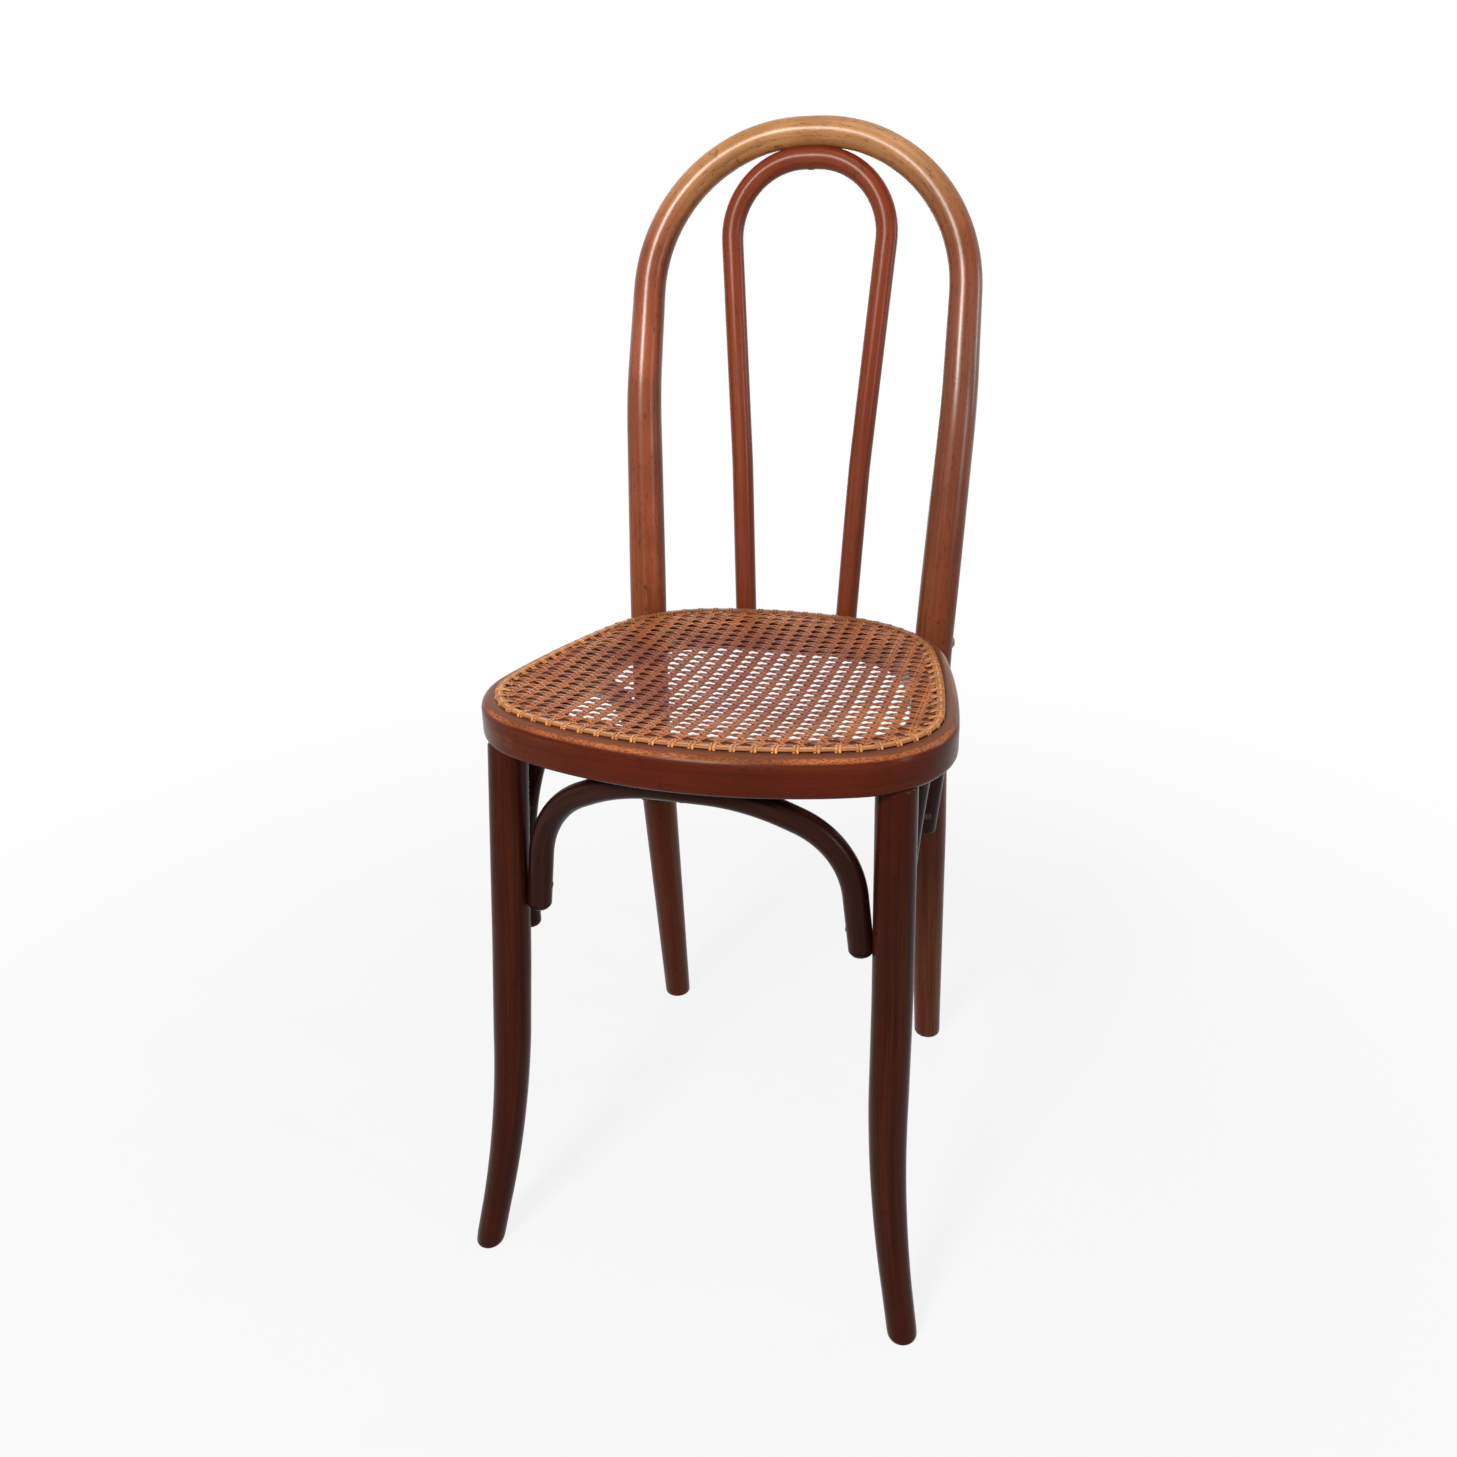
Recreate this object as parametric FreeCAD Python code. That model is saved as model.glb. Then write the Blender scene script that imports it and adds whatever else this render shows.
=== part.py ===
"""Bentwood bistro chair with a caned seat.

Six steam-bent beech rods, a bent seat rim and a hand-caned panel, held by bolts and wood screws.
Millimetres. The chair faces -Y and +Z is up. Left and right are as seen by someone facing the chair,
so the right side is +X. The origin is on the floor, at the middle of the chair's footprint.
"""

import FreeCAD
import Part
import math
import os

V = FreeCAD.Vector

# Seat rim, a bent bar whose outline is a chain of tangent arcs
seat_height = 460.0
rim_height = 30.0
rim_width = 36.0
rim_half_width = 185.9
rim_widest_y = -176.5
rim_rear_y = 132.0
rim_front_y = -209.8
rim_rear_radius = 308.0
rim_side_radius = 799.0
rim_front_radius = 352.0
rim_rear_corner = 117.4
rim_front_corner = 87.4
rim_top_round = 8.0
rim_bottom_round = 5.0

# Back frame, one rod from foot to foot over the top, measured from its joint with the rim
frame_joint_bearing = 46.2
frame_foot_out = 4.1
frame_foot_back = 47.6
frame_calf_out = 0.3
frame_calf_forward = 1.0
frame_calf_drop = 130.0
frame_calf_bend = 400.0
frame_waist_in = 1.3
frame_waist_forward = 5.1
frame_waist_drop = 45.0
frame_waist_bend = 150.0
frame_bow_out = 9.2
frame_bow_back = 35.3
frame_bow_rise = 194.0
frame_bow_bend = 600.0
frame_crown_out = 8.7
frame_crown_back = 89.6
frame_crown_rise = 414.6
frame_crown_flat = 24.0
frame_foot_diameter = 26.0
frame_seat_diameter = 33.6
frame_crown_diameter = 24.8
frame_thick_below_seat = 200.0
frame_thick_above_seat = 30.0

# Inner loop of the back
loop_foot_x = 46.8
loop_foot_above_rim_base = 3.0
loop_waist_out = 7.4
loop_waist_back = 20.0
loop_waist_rise = 130.0
loop_waist_bend = 700.0
loop_crown_x = 77.0
loop_crown_flat = 22.0
loop_diameter = 19.4
loop_let_in = 1.2

# Front legs, measured from their tops under the rim's front corners
leg_bearing = 44.0
leg_thigh_out = 4.0
leg_thigh_forward = 15.4
leg_thigh_drop = 168.0
leg_thigh_bend = 500.0
leg_shin_out = 6.1
leg_shin_forward = 35.4
leg_shin_z = 112.0
leg_shin_bend = 900.0
leg_foot_out = 26.1
leg_foot_forward = 56.9
leg_diameter = 30.0
leg_foot_diameter = 22.6
tenon_diameter = 20.0
tenon_length = 20.0

# Braces under the seat
brace_diameter = 19.0
brace_let_in = 2.0
front_brace_foot_drop = 139.0
front_brace_foot_back = 3.0
front_brace_shoulder_in = 10.8
front_brace_shoulder_drop = 45.0
front_brace_shoulder_bend = 74.0
front_brace_crown_in = 81.8
front_brace_crown_from_front = 29.3
front_brace_crown_bend = 120.0
side_brace_front_foot_drop = 162.0
side_brace_rear_foot_drop = 168.0
side_brace_front_foot_in = 4.0
side_brace_lean = 6.0
side_brace_crown_in = 32.9
side_brace_crown_flat = 16.0

# Cane
cane_hole_inset = 14.0
cane_hole_pitch = 14.0
cane_hole_diameter = 4.0
cane_short_hole_depth = 6.5
cane_hole_wall = 1.0
peg_width = 3.2
peg_length = 6.0
web_thickness = 1.4
web_pitch_across = 21.6
web_pitch_along = 18.6
web_strand_across = 8.0
web_strand_along = 7.0
web_gap_corner = 3.6
web_clear_of_rim = 2.0
binder_width = 6.4
binder_thickness = 1.1
tie_width = 2.2
tie_thickness = 0.5

# Bolts and screws
bolt_diameter = 6.0
bolt_head_diameter = 13.0
bolt_head_height = 3.2
bolt_tail = 2.0
washer_diameter = 15.0
washer_thickness = 1.4
washer_let_in = 0.8
nut_across_flats = 10.0
nut_height = 5.0
nut_sides = 6
screw_shank = 4.0
screw_tip = 6.0
screw_head_diameter = 8.0
screw_head_height = 2.4
screw_head_let_in = 0.6
foot_screw_length = 34.0
crown_screw_length = 34.0
loop_foot_screw_length = 34.0
loop_top_screw_length = 29.0
tenon_screw_length = 22.0
foot_screw_from_end = 27.0

# Fits and making
fit_gap = 0.15
touch_gap = 0.05
rim_seat_let_in = 0.4
foot_edge_bevel = 1.5
brace_end_bevel = 2.5
fastener_sides = 12
cane_hole_sides = 6
longest_run = 150.0
bend_step = 12.0
least_run = 0.05
floor_depth = 40.0
big = 2000.0

rim_base_z = seat_height - rim_height
joint_z = rim_base_z + rim_height / 2
up = V(0, 0, 1)
origin = V(0, 0, 0)
pieces = {}


def mirrored(shape):
    """The same shape on the other side of the chair."""
    return shape.mirror(origin, V(1, 0, 0))


def flip(point):
    """A point on the other side of the chair."""
    return V(-point.x, point.y, point.z)


def both_sides(shape):
    """A shape and its mirror image, as separate solids of one node."""
    return group([shape, mirrored(shape)])


def group(shapes):
    """Separate solids that share one node."""
    return Part.Compound([solid for shape in shapes for solid in shape.Solids])


# Bent rods

def bent_line(points, bends):
    """Straight runs from point to point, with a tangent arc of the given radius at each inner point.

    An inner point that lies on a straight run only divides it.
    """
    edges = []
    start = points[0]
    for before, corner, after, radius in zip(points, points[1:], points[2:], bends):
        into = (corner - before).normalize()
        out = (after - corner).normalize()
        half_turn = into.getAngle(out) / 2
        if not radius:
            edges.append(Part.LineSegment(start, corner).toShape())
            start = corner
            continue
        reach = radius * math.tan(half_turn)
        arc_start = corner - into * reach
        arc_end = corner + out * reach
        to_centre = (out - into).normalize()
        arc_middle = corner + to_centre * radius * (1 / math.cos(half_turn) - 1)
        if (arc_start - start).Length > least_run:
            edges.append(Part.LineSegment(start, arc_start).toShape())
        edges.append(Part.Arc(arc_start, arc_middle, arc_end).toShape())
        start = arc_end
    edges.append(Part.LineSegment(start, points[-1]).toShape())
    return edges


def crown_bend(bow, crown, flat):
    """The radius whose turn from the bow leaves half of a flat before the chair's centre line."""
    turn = (crown - bow).getAngle(V(-1, 0, 0))
    return (crown.x - flat / 2) / math.tan(turn / 2)


def stations(edges, run, turn):
    """Distance, point and direction along a bent line, no more than a run or a turn in degrees apart."""
    found = [(0.0, edges[0].valueAt(edges[0].FirstParameter), edges[0].tangentAt(edges[0].FirstParameter))]
    travelled = 0.0
    for edge in edges:
        bent = math.degrees(edge.Length / edge.Curve.Radius) if hasattr(edge.Curve, "Radius") else 0.0
        count = max(1, math.ceil(edge.Length / run), math.ceil(bent / turn))
        for step in range(1, count + 1):
            share = step / count
            at = edge.FirstParameter + (edge.LastParameter - edge.FirstParameter) * share
            found.append((travelled + edge.Length * share, edge.valueAt(at), edge.tangentAt(at)))
        travelled += edge.Length
    return found


def at_height(edges, height):
    """The distance along a bent line, and its point, where it first rises to a height."""
    marks = stations(edges, 10.0, 2.0)
    for (near, low, _), (far, high, _) in zip(marks, marks[1:]):
        if high.z >= height:
            share = (height - low.z) / (high.z - low.z)
            return near + (far - near) * share, low + (high - low) * share
    raise ValueError(f"The line does not rise to {height}")


def round_section(point, direction, radius, face_normal):
    """A circle square to the rod, whose start lies on the same side of the rod all along."""
    side = face_normal.cross(direction)
    turn = FreeCAD.Rotation(side, direction.cross(side), direction, "ZXY")
    circle = Part.Circle(origin, up, radius).toShape()
    circle.Placement = FreeCAD.Placement(point, turn)
    return Part.Wire([circle])


def round_rod(edges, radius_at, face_normal):
    """A round rod along a bent line, whose radius may change along its length."""
    sections = [
        round_section(point, direction, radius_at(distance), face_normal)
        for distance, point, direction in stations(edges, longest_run, bend_step)
    ]
    return Part.makeLoft(sections, True, True)


def taper(marks):
    """A radius that runs smoothly between (distance, radius) marks."""
    def radius_at(distance):
        for (near, near_radius), (far, far_radius) in zip(marks, marks[1:]):
            if distance <= far:
                share = max(0.0, (distance - near) / (far - near))
                blend = (1 - math.cos(math.pi * share)) / 2
                return near_radius + (far_radius - near_radius) * blend
        return marks[-1][1]
    return radius_at


def line_length(edges):
    """The length of a bent line."""
    return sum(edge.Length for edge in edges)


def carried_below_floor(foot, above):
    """The point where the line from above through the foot is well under the floor."""
    along = (foot - above).normalize()
    return foot + along * (floor_depth / -along.z)


def everything_below(height):
    """All the space under a height."""
    return Part.makeBox(big, big, big, V(-big / 2, -big / 2, height - big))


def everything_above(height):
    """All the space over a height."""
    return Part.makeBox(big, big, big, V(-big / 2, -big / 2, height))


def level_edges(shape, height):
    """The edges of a shape that lie flat at a height."""
    return [edge for edge in shape.Edges
            if abs(edge.BoundBox.ZMin - height) < 0.01 and abs(edge.BoundBox.ZMax - height) < 0.01]


def level_direction(start, end):
    """The level unit direction from one point towards another."""
    return V(end.x - start.x, end.y - start.y, 0).normalize()


def standing_foot(rod):
    """A rod cut off flat at the floor, with the edges of its feet bevelled."""
    cut = rod.cut(everything_below(0))
    return cut.makeChamfer(foot_edge_bevel, level_edges(cut, 0))


# Seat rim

def meet(centre_a, radius_a, centre_b, radius_b, toward_rear):
    """The point right of the chair's centre line where two circles cross, near the rear or the front."""
    across = centre_b - centre_a
    distance = across.Length
    along = (radius_a ** 2 - radius_b ** 2 + distance ** 2) / (2 * distance)
    height = math.sqrt(radius_a ** 2 - along ** 2)
    unit = across / distance
    normal = V(-unit.y, unit.x, 0)
    candidates = [centre_a + unit * along + normal * height, centre_a + unit * along - normal * height]
    return max(candidates, key=lambda point: point.y if toward_rear else -point.y)


rear_centre = V(0, rim_rear_y - rim_rear_radius, 0)
front_centre = V(0, rim_front_y + rim_front_radius, 0)
side_centre = V(rim_half_width - rim_side_radius, rim_widest_y, 0)
rear_corner_centre = meet(rear_centre, rim_rear_radius - rim_rear_corner,
                          side_centre, rim_side_radius - rim_rear_corner, True)
front_corner_centre = meet(front_centre, rim_front_radius - rim_front_corner,
                           side_centre, rim_side_radius - rim_front_corner, False)
rim_turns = [
    V(0, 1, 0),
    level_direction(rear_centre, rear_corner_centre),
    level_direction(side_centre, rear_corner_centre),
    level_direction(side_centre, front_corner_centre),
    level_direction(front_centre, front_corner_centre),
    V(0, -1, 0),
]
rim_arcs = [
    (rear_centre, rim_rear_radius),
    (rear_corner_centre, rim_rear_corner),
    (side_centre, rim_side_radius),
    (front_corner_centre, rim_front_corner),
    (front_centre, rim_front_radius),
]


def rim_outline(inset, height):
    """The rim's outline, moved inwards by inset, as a closed wire at a height."""
    lift = V(0, 0, height)
    half = []
    for (centre, radius), start, end in zip(rim_arcs, rim_turns, rim_turns[1:]):
        middle = (start + end).normalize()
        half.append([centre + side * (radius - inset) + lift for side in (start, middle, end)])
    arcs = [Part.Arc(*points).toShape() for points in half]
    arcs += [Part.Arc(*[flip(point) for point in reversed(points)]).toShape() for points in reversed(half)]
    return Part.Wire(arcs)


def rim_slab(outer_inset, inner_inset, base_z, thickness):
    """A flat ring that follows the rim between two insets."""
    outer = Part.Face(rim_outline(outer_inset, base_z)).extrude(V(0, 0, thickness))
    inner = Part.Face(rim_outline(inner_inset, base_z)).extrude(V(0, 0, thickness))
    return outer.cut(inner)


def on_outline(edges, inset):
    """Those of some level edges that lie on the rim's outline at an inset."""
    height = edges[0].BoundBox.ZMin
    outline = rim_outline(inset, height)
    middles = [(edge, edge.valueAt((edge.FirstParameter + edge.LastParameter) / 2)) for edge in edges]
    return [edge for edge, middle in middles if outline.distToShape(Part.Vertex(middle))[0] < 1.0]


def rounded_rim():
    """The bent rim before it is drilled."""
    rim = rim_slab(0, rim_width, rim_base_z, rim_height)
    rim = rim.makeFillet(rim_top_round, on_outline(level_edges(rim, seat_height), 0))
    return rim.makeFillet(rim_bottom_round, on_outline(level_edges(rim, rim_base_z), 0))


def nearest_on_rim(point, inset=0.0):
    """The point of the rim's outline nearest to a point, at that point's height."""
    outline = rim_outline(inset, point.z)
    return outline.distToShape(Part.Vertex(point))[1][0][0]


rim_blank = rounded_rim()


# Screws, bolts and their holes

def set_along(solid, start, axis):
    """A solid drawn on the Z axis, moved so that it starts at a point and runs along an axis."""
    solid.Placement = FreeCAD.Placement(start, FreeCAD.Rotation(up, axis))
    return solid


def many_sided(radius, height, sides):
    """The corners of a level polygon that has flats at a radius."""
    corner = radius / math.cos(math.pi / sides)
    angles = [2 * math.pi * k / sides for k in range(sides + 1)]
    return Part.makePolygon([V(corner * math.cos(a), corner * math.sin(a), height) for a in angles])


def prism(diameter, length, start, axis, sides):
    """A many-sided bar from a point along an axis, as wide across its flats as a diameter."""
    return set_along(Part.Face(many_sided(diameter / 2, 0, sides)).extrude(up * length), start, axis)


def stepped(profile, start, axis):
    """A many-sided solid through (radius, height) steps, set along an axis."""
    rings = [many_sided(radius, height, fastener_sides) for radius, height in profile]
    return set_along(Part.makeLoft(rings, True, True), start, axis)


def domed_head(diameter, height):
    """A domed head, from its edge to its flat top, as (radius, height) steps."""
    return [(diameter / 2 * math.cos(a), -height * math.sin(a)) for a in (0, math.radians(60))]


def wood_screw(seat, axis, length):
    """A round-head screw whose head sits at a point and whose shank runs along an axis."""
    shank = screw_shank / 2
    shaft = stepped([(shank, 0), (shank, length - screw_tip), (shank / 2, length)], seat, axis)
    return shaft.fuse(stepped(domed_head(screw_head_diameter, screw_head_height), seat, axis))


def screw_hole(seat, axis, length):
    """The hole that a screw is driven into, with a small flat for its head."""
    shank = prism(screw_shank + 2 * fit_gap, length + fit_gap, seat, axis, fastener_sides)
    head_room = prism(screw_head_diameter + 2 * fit_gap, screw_head_diameter, seat, -axis, fastener_sides)
    return shank.fuse(head_room)


def ring(diameter, sides, thickness, seat, axis):
    """A washer or nut that lies on a point and faces along an axis."""
    bore = prism(bolt_diameter + 2 * fit_gap, thickness, seat, axis, fastener_sides)
    return prism(diameter, thickness, seat, axis, sides).cut(bore)


# Back frame, moved so that it lies against the rim at its joint
frame_seat_radius = frame_seat_diameter / 2
bearing_angle = math.radians(frame_joint_bearing)
frame_outward = V(math.cos(bearing_angle), math.sin(bearing_angle), 0)
frame_joint = (rear_corner_centre + V(0, 0, joint_z)
               + frame_outward * (rim_rear_corner + frame_seat_radius - rim_seat_let_in))


def frame_side(joint_x, joint_y):
    """The points of the frame's right side, from under the floor to the corner of the crown."""
    foot = V(joint_x + frame_foot_out, joint_y + frame_foot_back, 0)
    calf = V(joint_x + frame_calf_out, joint_y - frame_calf_forward, seat_height - frame_calf_drop)
    thick = foot + (calf - foot) * ((seat_height - frame_thick_below_seat) / calf.z)
    waist = V(joint_x - frame_waist_in, joint_y - frame_waist_forward, seat_height - frame_waist_drop)
    bow = V(joint_x + frame_bow_out, joint_y + frame_bow_back, seat_height + frame_bow_rise)
    crown = V(joint_x + frame_crown_out, joint_y + frame_crown_back, seat_height + frame_crown_rise)
    thin = waist + (bow - waist) * ((frame_thick_above_seat + frame_waist_drop) / (bow.z - waist.z))
    return [carried_below_floor(foot, calf), thick, calf, waist, thin, bow, crown]


def frame_line(joint_x, joint_y):
    """The frame's centre line, from the right foot over the crown to the left foot."""
    side = frame_side(joint_x, joint_y)
    bends = [0, frame_calf_bend, frame_waist_bend, 0, frame_bow_bend,
             crown_bend(side[-2], side[-1], frame_crown_flat)]
    return bent_line(side + [flip(point) for point in reversed(side)], bends + list(reversed(bends)))


first_try = at_height(frame_line(frame_joint.x, frame_joint.y), joint_z)[1]
frame_place_x = 2 * frame_joint.x - first_try.x
frame_place_y = 2 * frame_joint.y - first_try.y
frame_edges = frame_line(frame_place_x, frame_place_y)
frame_crown = frame_side(frame_place_x, frame_place_y)[-1]
frame_length = line_length(frame_edges)
frame_radius_half = taper([
    (0.0, frame_foot_diameter / 2),
    (at_height(frame_edges, seat_height - frame_thick_below_seat)[0], frame_seat_radius),
    (at_height(frame_edges, seat_height + frame_thick_above_seat)[0], frame_seat_radius),
    (frame_length / 2, frame_crown_diameter / 2),
])


def frame_radius(distance):
    """The back frame's radius, the same from either foot."""
    return frame_radius_half(min(distance, frame_length - distance))


frame_rod = standing_foot(round_rod(frame_edges, frame_radius, V(0, 1, 0))).cut(rim_blank)

# Inner loop of the back
loop_radius = loop_diameter / 2
crown_drop = frame_crown_diameter / 2 + loop_radius - loop_let_in
loop_foot_rim = nearest_on_rim(V(loop_foot_x, rim_rear_y, rim_base_z + loop_foot_above_rim_base))
loop_outward = level_direction(rear_centre, loop_foot_rim)
loop_foot = loop_foot_rim + loop_outward * (loop_radius - rim_seat_let_in)
loop_side = [
    loop_foot,
    loop_foot + V(loop_waist_out, loop_waist_back, loop_waist_rise + seat_height - loop_foot.z),
    V(loop_crown_x, frame_crown.y, frame_crown.z - crown_drop),
]
loop_bends = [loop_waist_bend, crown_bend(loop_side[1], loop_side[2], loop_crown_flat)]
loop_edges = bent_line(loop_side + [flip(point) for point in reversed(loop_side)],
                       loop_bends + list(reversed(loop_bends)))
loop_rod = round_rod(loop_edges, lambda distance: loop_radius, V(0, 1, 0)).cut(rim_blank)

# Front legs
leg_turn = math.radians(leg_bearing)
leg_outward = V(math.cos(leg_turn), -math.sin(leg_turn), 0)
leg_radius = leg_diameter / 2
leg_top = front_corner_centre + leg_outward * (rim_front_corner - leg_radius) + V(0, 0, rim_base_z)
leg_thigh = leg_top + V(leg_thigh_out, -leg_thigh_forward, -leg_thigh_drop)
leg_shin = V(leg_top.x + leg_shin_out, leg_top.y - leg_shin_forward, leg_shin_z)
leg_foot = V(leg_top.x + leg_foot_out, leg_top.y - leg_foot_forward, 0)
leg_rise = (leg_top - leg_thigh).normalize()
leg_edges = bent_line(
    [carried_below_floor(leg_foot, leg_shin), leg_shin, leg_thigh, leg_top + leg_rise * leg_diameter],
    [leg_shin_bend, leg_thigh_bend])
leg_taper = taper([
    (0.0, leg_foot_diameter / 2),
    (at_height(leg_edges, leg_shin_z * 2)[0], leg_radius),
    (line_length(leg_edges), leg_radius),
])
leg_rod = round_rod(leg_edges, leg_taper, V(0, 1, 0)).cut(everything_above(rim_base_z))
tenon = Part.makeCylinder(tenon_diameter / 2, tenon_length + leg_radius, leg_top - up * leg_radius)
leg_blank = standing_foot(leg_rod).fuse(tenon).removeSplitter()
tenon_socket = Part.makeCylinder(tenon_diameter / 2 + fit_gap, tenon_length + fit_gap, leg_top)

# Brace between the front legs
brace_radius = brace_diameter / 2
brace_crown_z = rim_base_z - brace_radius - touch_gap


def brace_rod(edges, face_normal):
    """A brace of even thickness, with the edges of its two cut ends bevelled."""
    rod = round_rod(edges, lambda distance: brace_radius, face_normal)
    ends = [edges[0].valueAt(edges[0].FirstParameter), edges[-1].valueAt(edges[-1].LastParameter)]
    end_edges = [edge for edge in rod.Edges if edge.Closed and edge.Length < 7 * brace_radius
                 and min((edge.CenterOfMass - end).Length for end in ends) < 1.0]
    return rod.makeChamfer(brace_end_bevel, end_edges)


def beside(rod_radius):
    """How far a brace's centre line is from that of a leg of this radius."""
    return rod_radius + brace_radius - brace_let_in


front_foot_leg = at_height(leg_edges, rim_base_z - front_brace_foot_drop)[1]
front_brace_foot = front_foot_leg + V(
    -beside(leg_radius), front_brace_foot_back, 0)
front_brace_shoulder = V(
    front_brace_foot.x - front_brace_shoulder_in, front_brace_foot.y, rim_base_z - front_brace_shoulder_drop)
front_brace_crown = V(
    front_brace_foot.x - front_brace_crown_in, rim_front_y + front_brace_crown_from_front, brace_crown_z)
front_brace_side = [front_brace_foot, front_brace_shoulder, front_brace_crown]
front_brace_edges = bent_line(
    front_brace_side + [flip(point) for point in reversed(front_brace_side)],
    [front_brace_shoulder_bend, front_brace_crown_bend, front_brace_crown_bend, front_brace_shoulder_bend])
front_brace_rod = brace_rod(front_brace_edges, V(0, 1, 0))

# Braces between each front leg and the rear leg behind it
rear_foot_distance, rear_foot_leg = at_height(frame_edges, rim_base_z - side_brace_rear_foot_drop)
side_foot_leg = at_height(leg_edges, rim_base_z - side_brace_front_foot_drop)[1]
side_front_foot = side_foot_leg + V(-side_brace_front_foot_in, beside(leg_radius), 0)
side_rear_foot = rear_foot_leg - V(0, beside(frame_radius(rear_foot_distance)), 0)
lean = math.tan(math.radians(side_brace_lean))
side_brace_crown_x = rim_half_width - side_brace_crown_in
side_front_corner = V(side_brace_crown_x,
                      side_front_foot.y + lean * (brace_crown_z - side_front_foot.z), brace_crown_z)
side_rear_corner = V(side_brace_crown_x,
                     side_rear_foot.y - lean * (brace_crown_z - side_rear_foot.z), brace_crown_z)
side_run = side_rear_corner - side_front_corner
side_reach = (side_run.Length - side_brace_crown_flat) / 2
side_turns = [(side_front_corner - side_front_foot).getAngle(side_run),
              (side_rear_foot - side_rear_corner).getAngle(side_run)]
side_brace_edges = bent_line(
    [side_front_foot, side_front_corner, side_rear_corner, side_rear_foot],
    [side_reach / math.tan(turn / 2) for turn in side_turns])
side_brace_rod = brace_rod(side_brace_edges, V(1, 0, 0))

# Screws: where each head sits, which way it is driven and how long it is
brace_head = brace_radius - screw_head_let_in


def foot_screw(brace_edges, leg_line, height):
    """The screw through a brace's foot into the leg beside it, at a height."""
    foot = at_height(brace_edges, height)[1]
    axis = level_direction(foot, at_height(leg_line, height)[1])
    return foot - axis * brace_head, axis, foot_screw_length


def crown_screw(crown_middle):
    """The screw up through a brace's crown into the rim."""
    return crown_middle - up * brace_head, up, crown_screw_length


front_foot_screw = foot_screw(front_brace_edges, leg_edges, front_brace_foot.z + foot_screw_from_end)
side_front_screw = foot_screw(side_brace_edges, leg_edges, side_front_foot.z + foot_screw_from_end)
side_rear_run = [Part.LineSegment(side_rear_foot, side_rear_corner).toShape()]
side_rear_screw = foot_screw(side_rear_run, frame_edges, side_rear_foot.z + foot_screw_from_end)
front_crown_screw = crown_screw(V(0, front_brace_side[2].y, brace_crown_z))
side_crown_screw = crown_screw((side_front_corner + side_rear_corner) / 2)

loop_joint = at_height(loop_edges, joint_z)[1]
loop_joint_axis = level_direction(loop_joint, nearest_on_rim(loop_joint))
loop_head = loop_radius - screw_head_let_in
loop_foot_screw = (loop_joint - loop_joint_axis * loop_head, loop_joint_axis, loop_foot_screw_length)
loop_top_screw = (V(0, loop_side[2].y, loop_side[2].z - loop_head), up, loop_top_screw_length)

tenon_screw_z = rim_base_z + tenon_length / 2
tenon_screw_rim = nearest_on_rim(V(leg_top.x, leg_top.y, tenon_screw_z))
tenon_screw_seat = tenon_screw_rim - leg_outward * (rim_width - screw_head_let_in - washer_let_in)
tenon_screw = (tenon_screw_seat, leg_outward, tenon_screw_length)

# Bolts through the stiles of the back frame into the rim
bolt_seat = frame_joint + frame_outward * (frame_seat_radius - washer_let_in)
bolt_inner_seat = frame_joint - frame_outward * (
    frame_seat_radius - rim_seat_let_in + rim_width - washer_let_in)
bolt_grip = (bolt_seat - bolt_inner_seat).Length
bolt_length = 2 * washer_thickness + bolt_grip + nut_height + bolt_tail
bolt_start = bolt_seat + frame_outward * washer_thickness
bolt_shank = prism(bolt_diameter, bolt_length, bolt_start, -frame_outward, fastener_sides)
bolt_head = stepped(domed_head(bolt_head_diameter, bolt_head_height), bolt_start, -frame_outward)
bolt = bolt_shank.fuse(bolt_head)
outer_washer = ring(washer_diameter, fastener_sides, washer_thickness, bolt_seat, frame_outward)
inner_washer = ring(washer_diameter, fastener_sides, washer_thickness, bolt_inner_seat, -frame_outward)
nut_seat = bolt_inner_seat - frame_outward * washer_thickness
nut = ring(nut_across_flats, nut_sides, nut_height, nut_seat, -frame_outward)
washer_room = washer_diameter + 2 * fit_gap
bolt_hole = group([
    prism(bolt_diameter + 2 * fit_gap, bolt_grip, bolt_seat, -frame_outward, fastener_sides),
    prism(washer_room, washer_diameter, bolt_seat, frame_outward, fastener_sides),
    prism(washer_room, washer_diameter, bolt_inner_seat, -frame_outward, fastener_sides),
])

# Everything that is driven into the rim
side_holes = [tenon_socket, bolt_hole, screw_hole(*loop_foot_screw), screw_hole(*tenon_screw),
              screw_hole(*side_crown_screw)]
rim_joinery = group([both_sides(hole) for hole in side_holes] + [screw_hole(*front_crown_screw)])

# Holes for the cane, drilled right through except above a joint
hole_line = rim_outline(cane_hole_inset, seat_height)
hole_count = 2 * round(hole_line.Length / cane_hole_pitch / 2)
hole_places = hole_line.discretize(Number=hole_count + 1)[:-1]


def cane_hole(place):
    """One hole for the cane, as deep as the joints under it allow."""
    whole = prism(cane_hole_diameter, rim_height, place, -up, cane_hole_sides)
    if whole.distToShape(rim_joinery)[0] > cane_hole_wall:
        return whole
    return prism(cane_hole_diameter, cane_short_hole_depth, place, -up, cane_hole_sides)


cane_holes = Part.Compound([cane_hole(place) for place in hole_places])
pieces["seat_ring"] = rim_blank.cut(cane_holes).cut(rim_joinery)
pieces["cane_pegs"] = group([prism(peg_width, peg_length, place, -up, cane_hole_sides)
                             for place in hole_places[::2]])


# Woven cane panel, its binder and the loops that tie the binder down

def gap_outline(centre_x, centre_y):
    """One eight-sided gap of the weave."""
    half_across = (web_pitch_across - web_strand_across) / 2
    half_along = (web_pitch_along - web_strand_along) / 2
    quarter = [(half_across, half_along - web_gap_corner), (half_across - web_gap_corner, half_along)]
    quarter += [(-x, y) for x, y in reversed(quarter)]
    quarter += [(-x, -y) for x, y in quarter]
    return [V(centre_x + x, centre_y + y, seat_height) for x, y in quarter]


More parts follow.
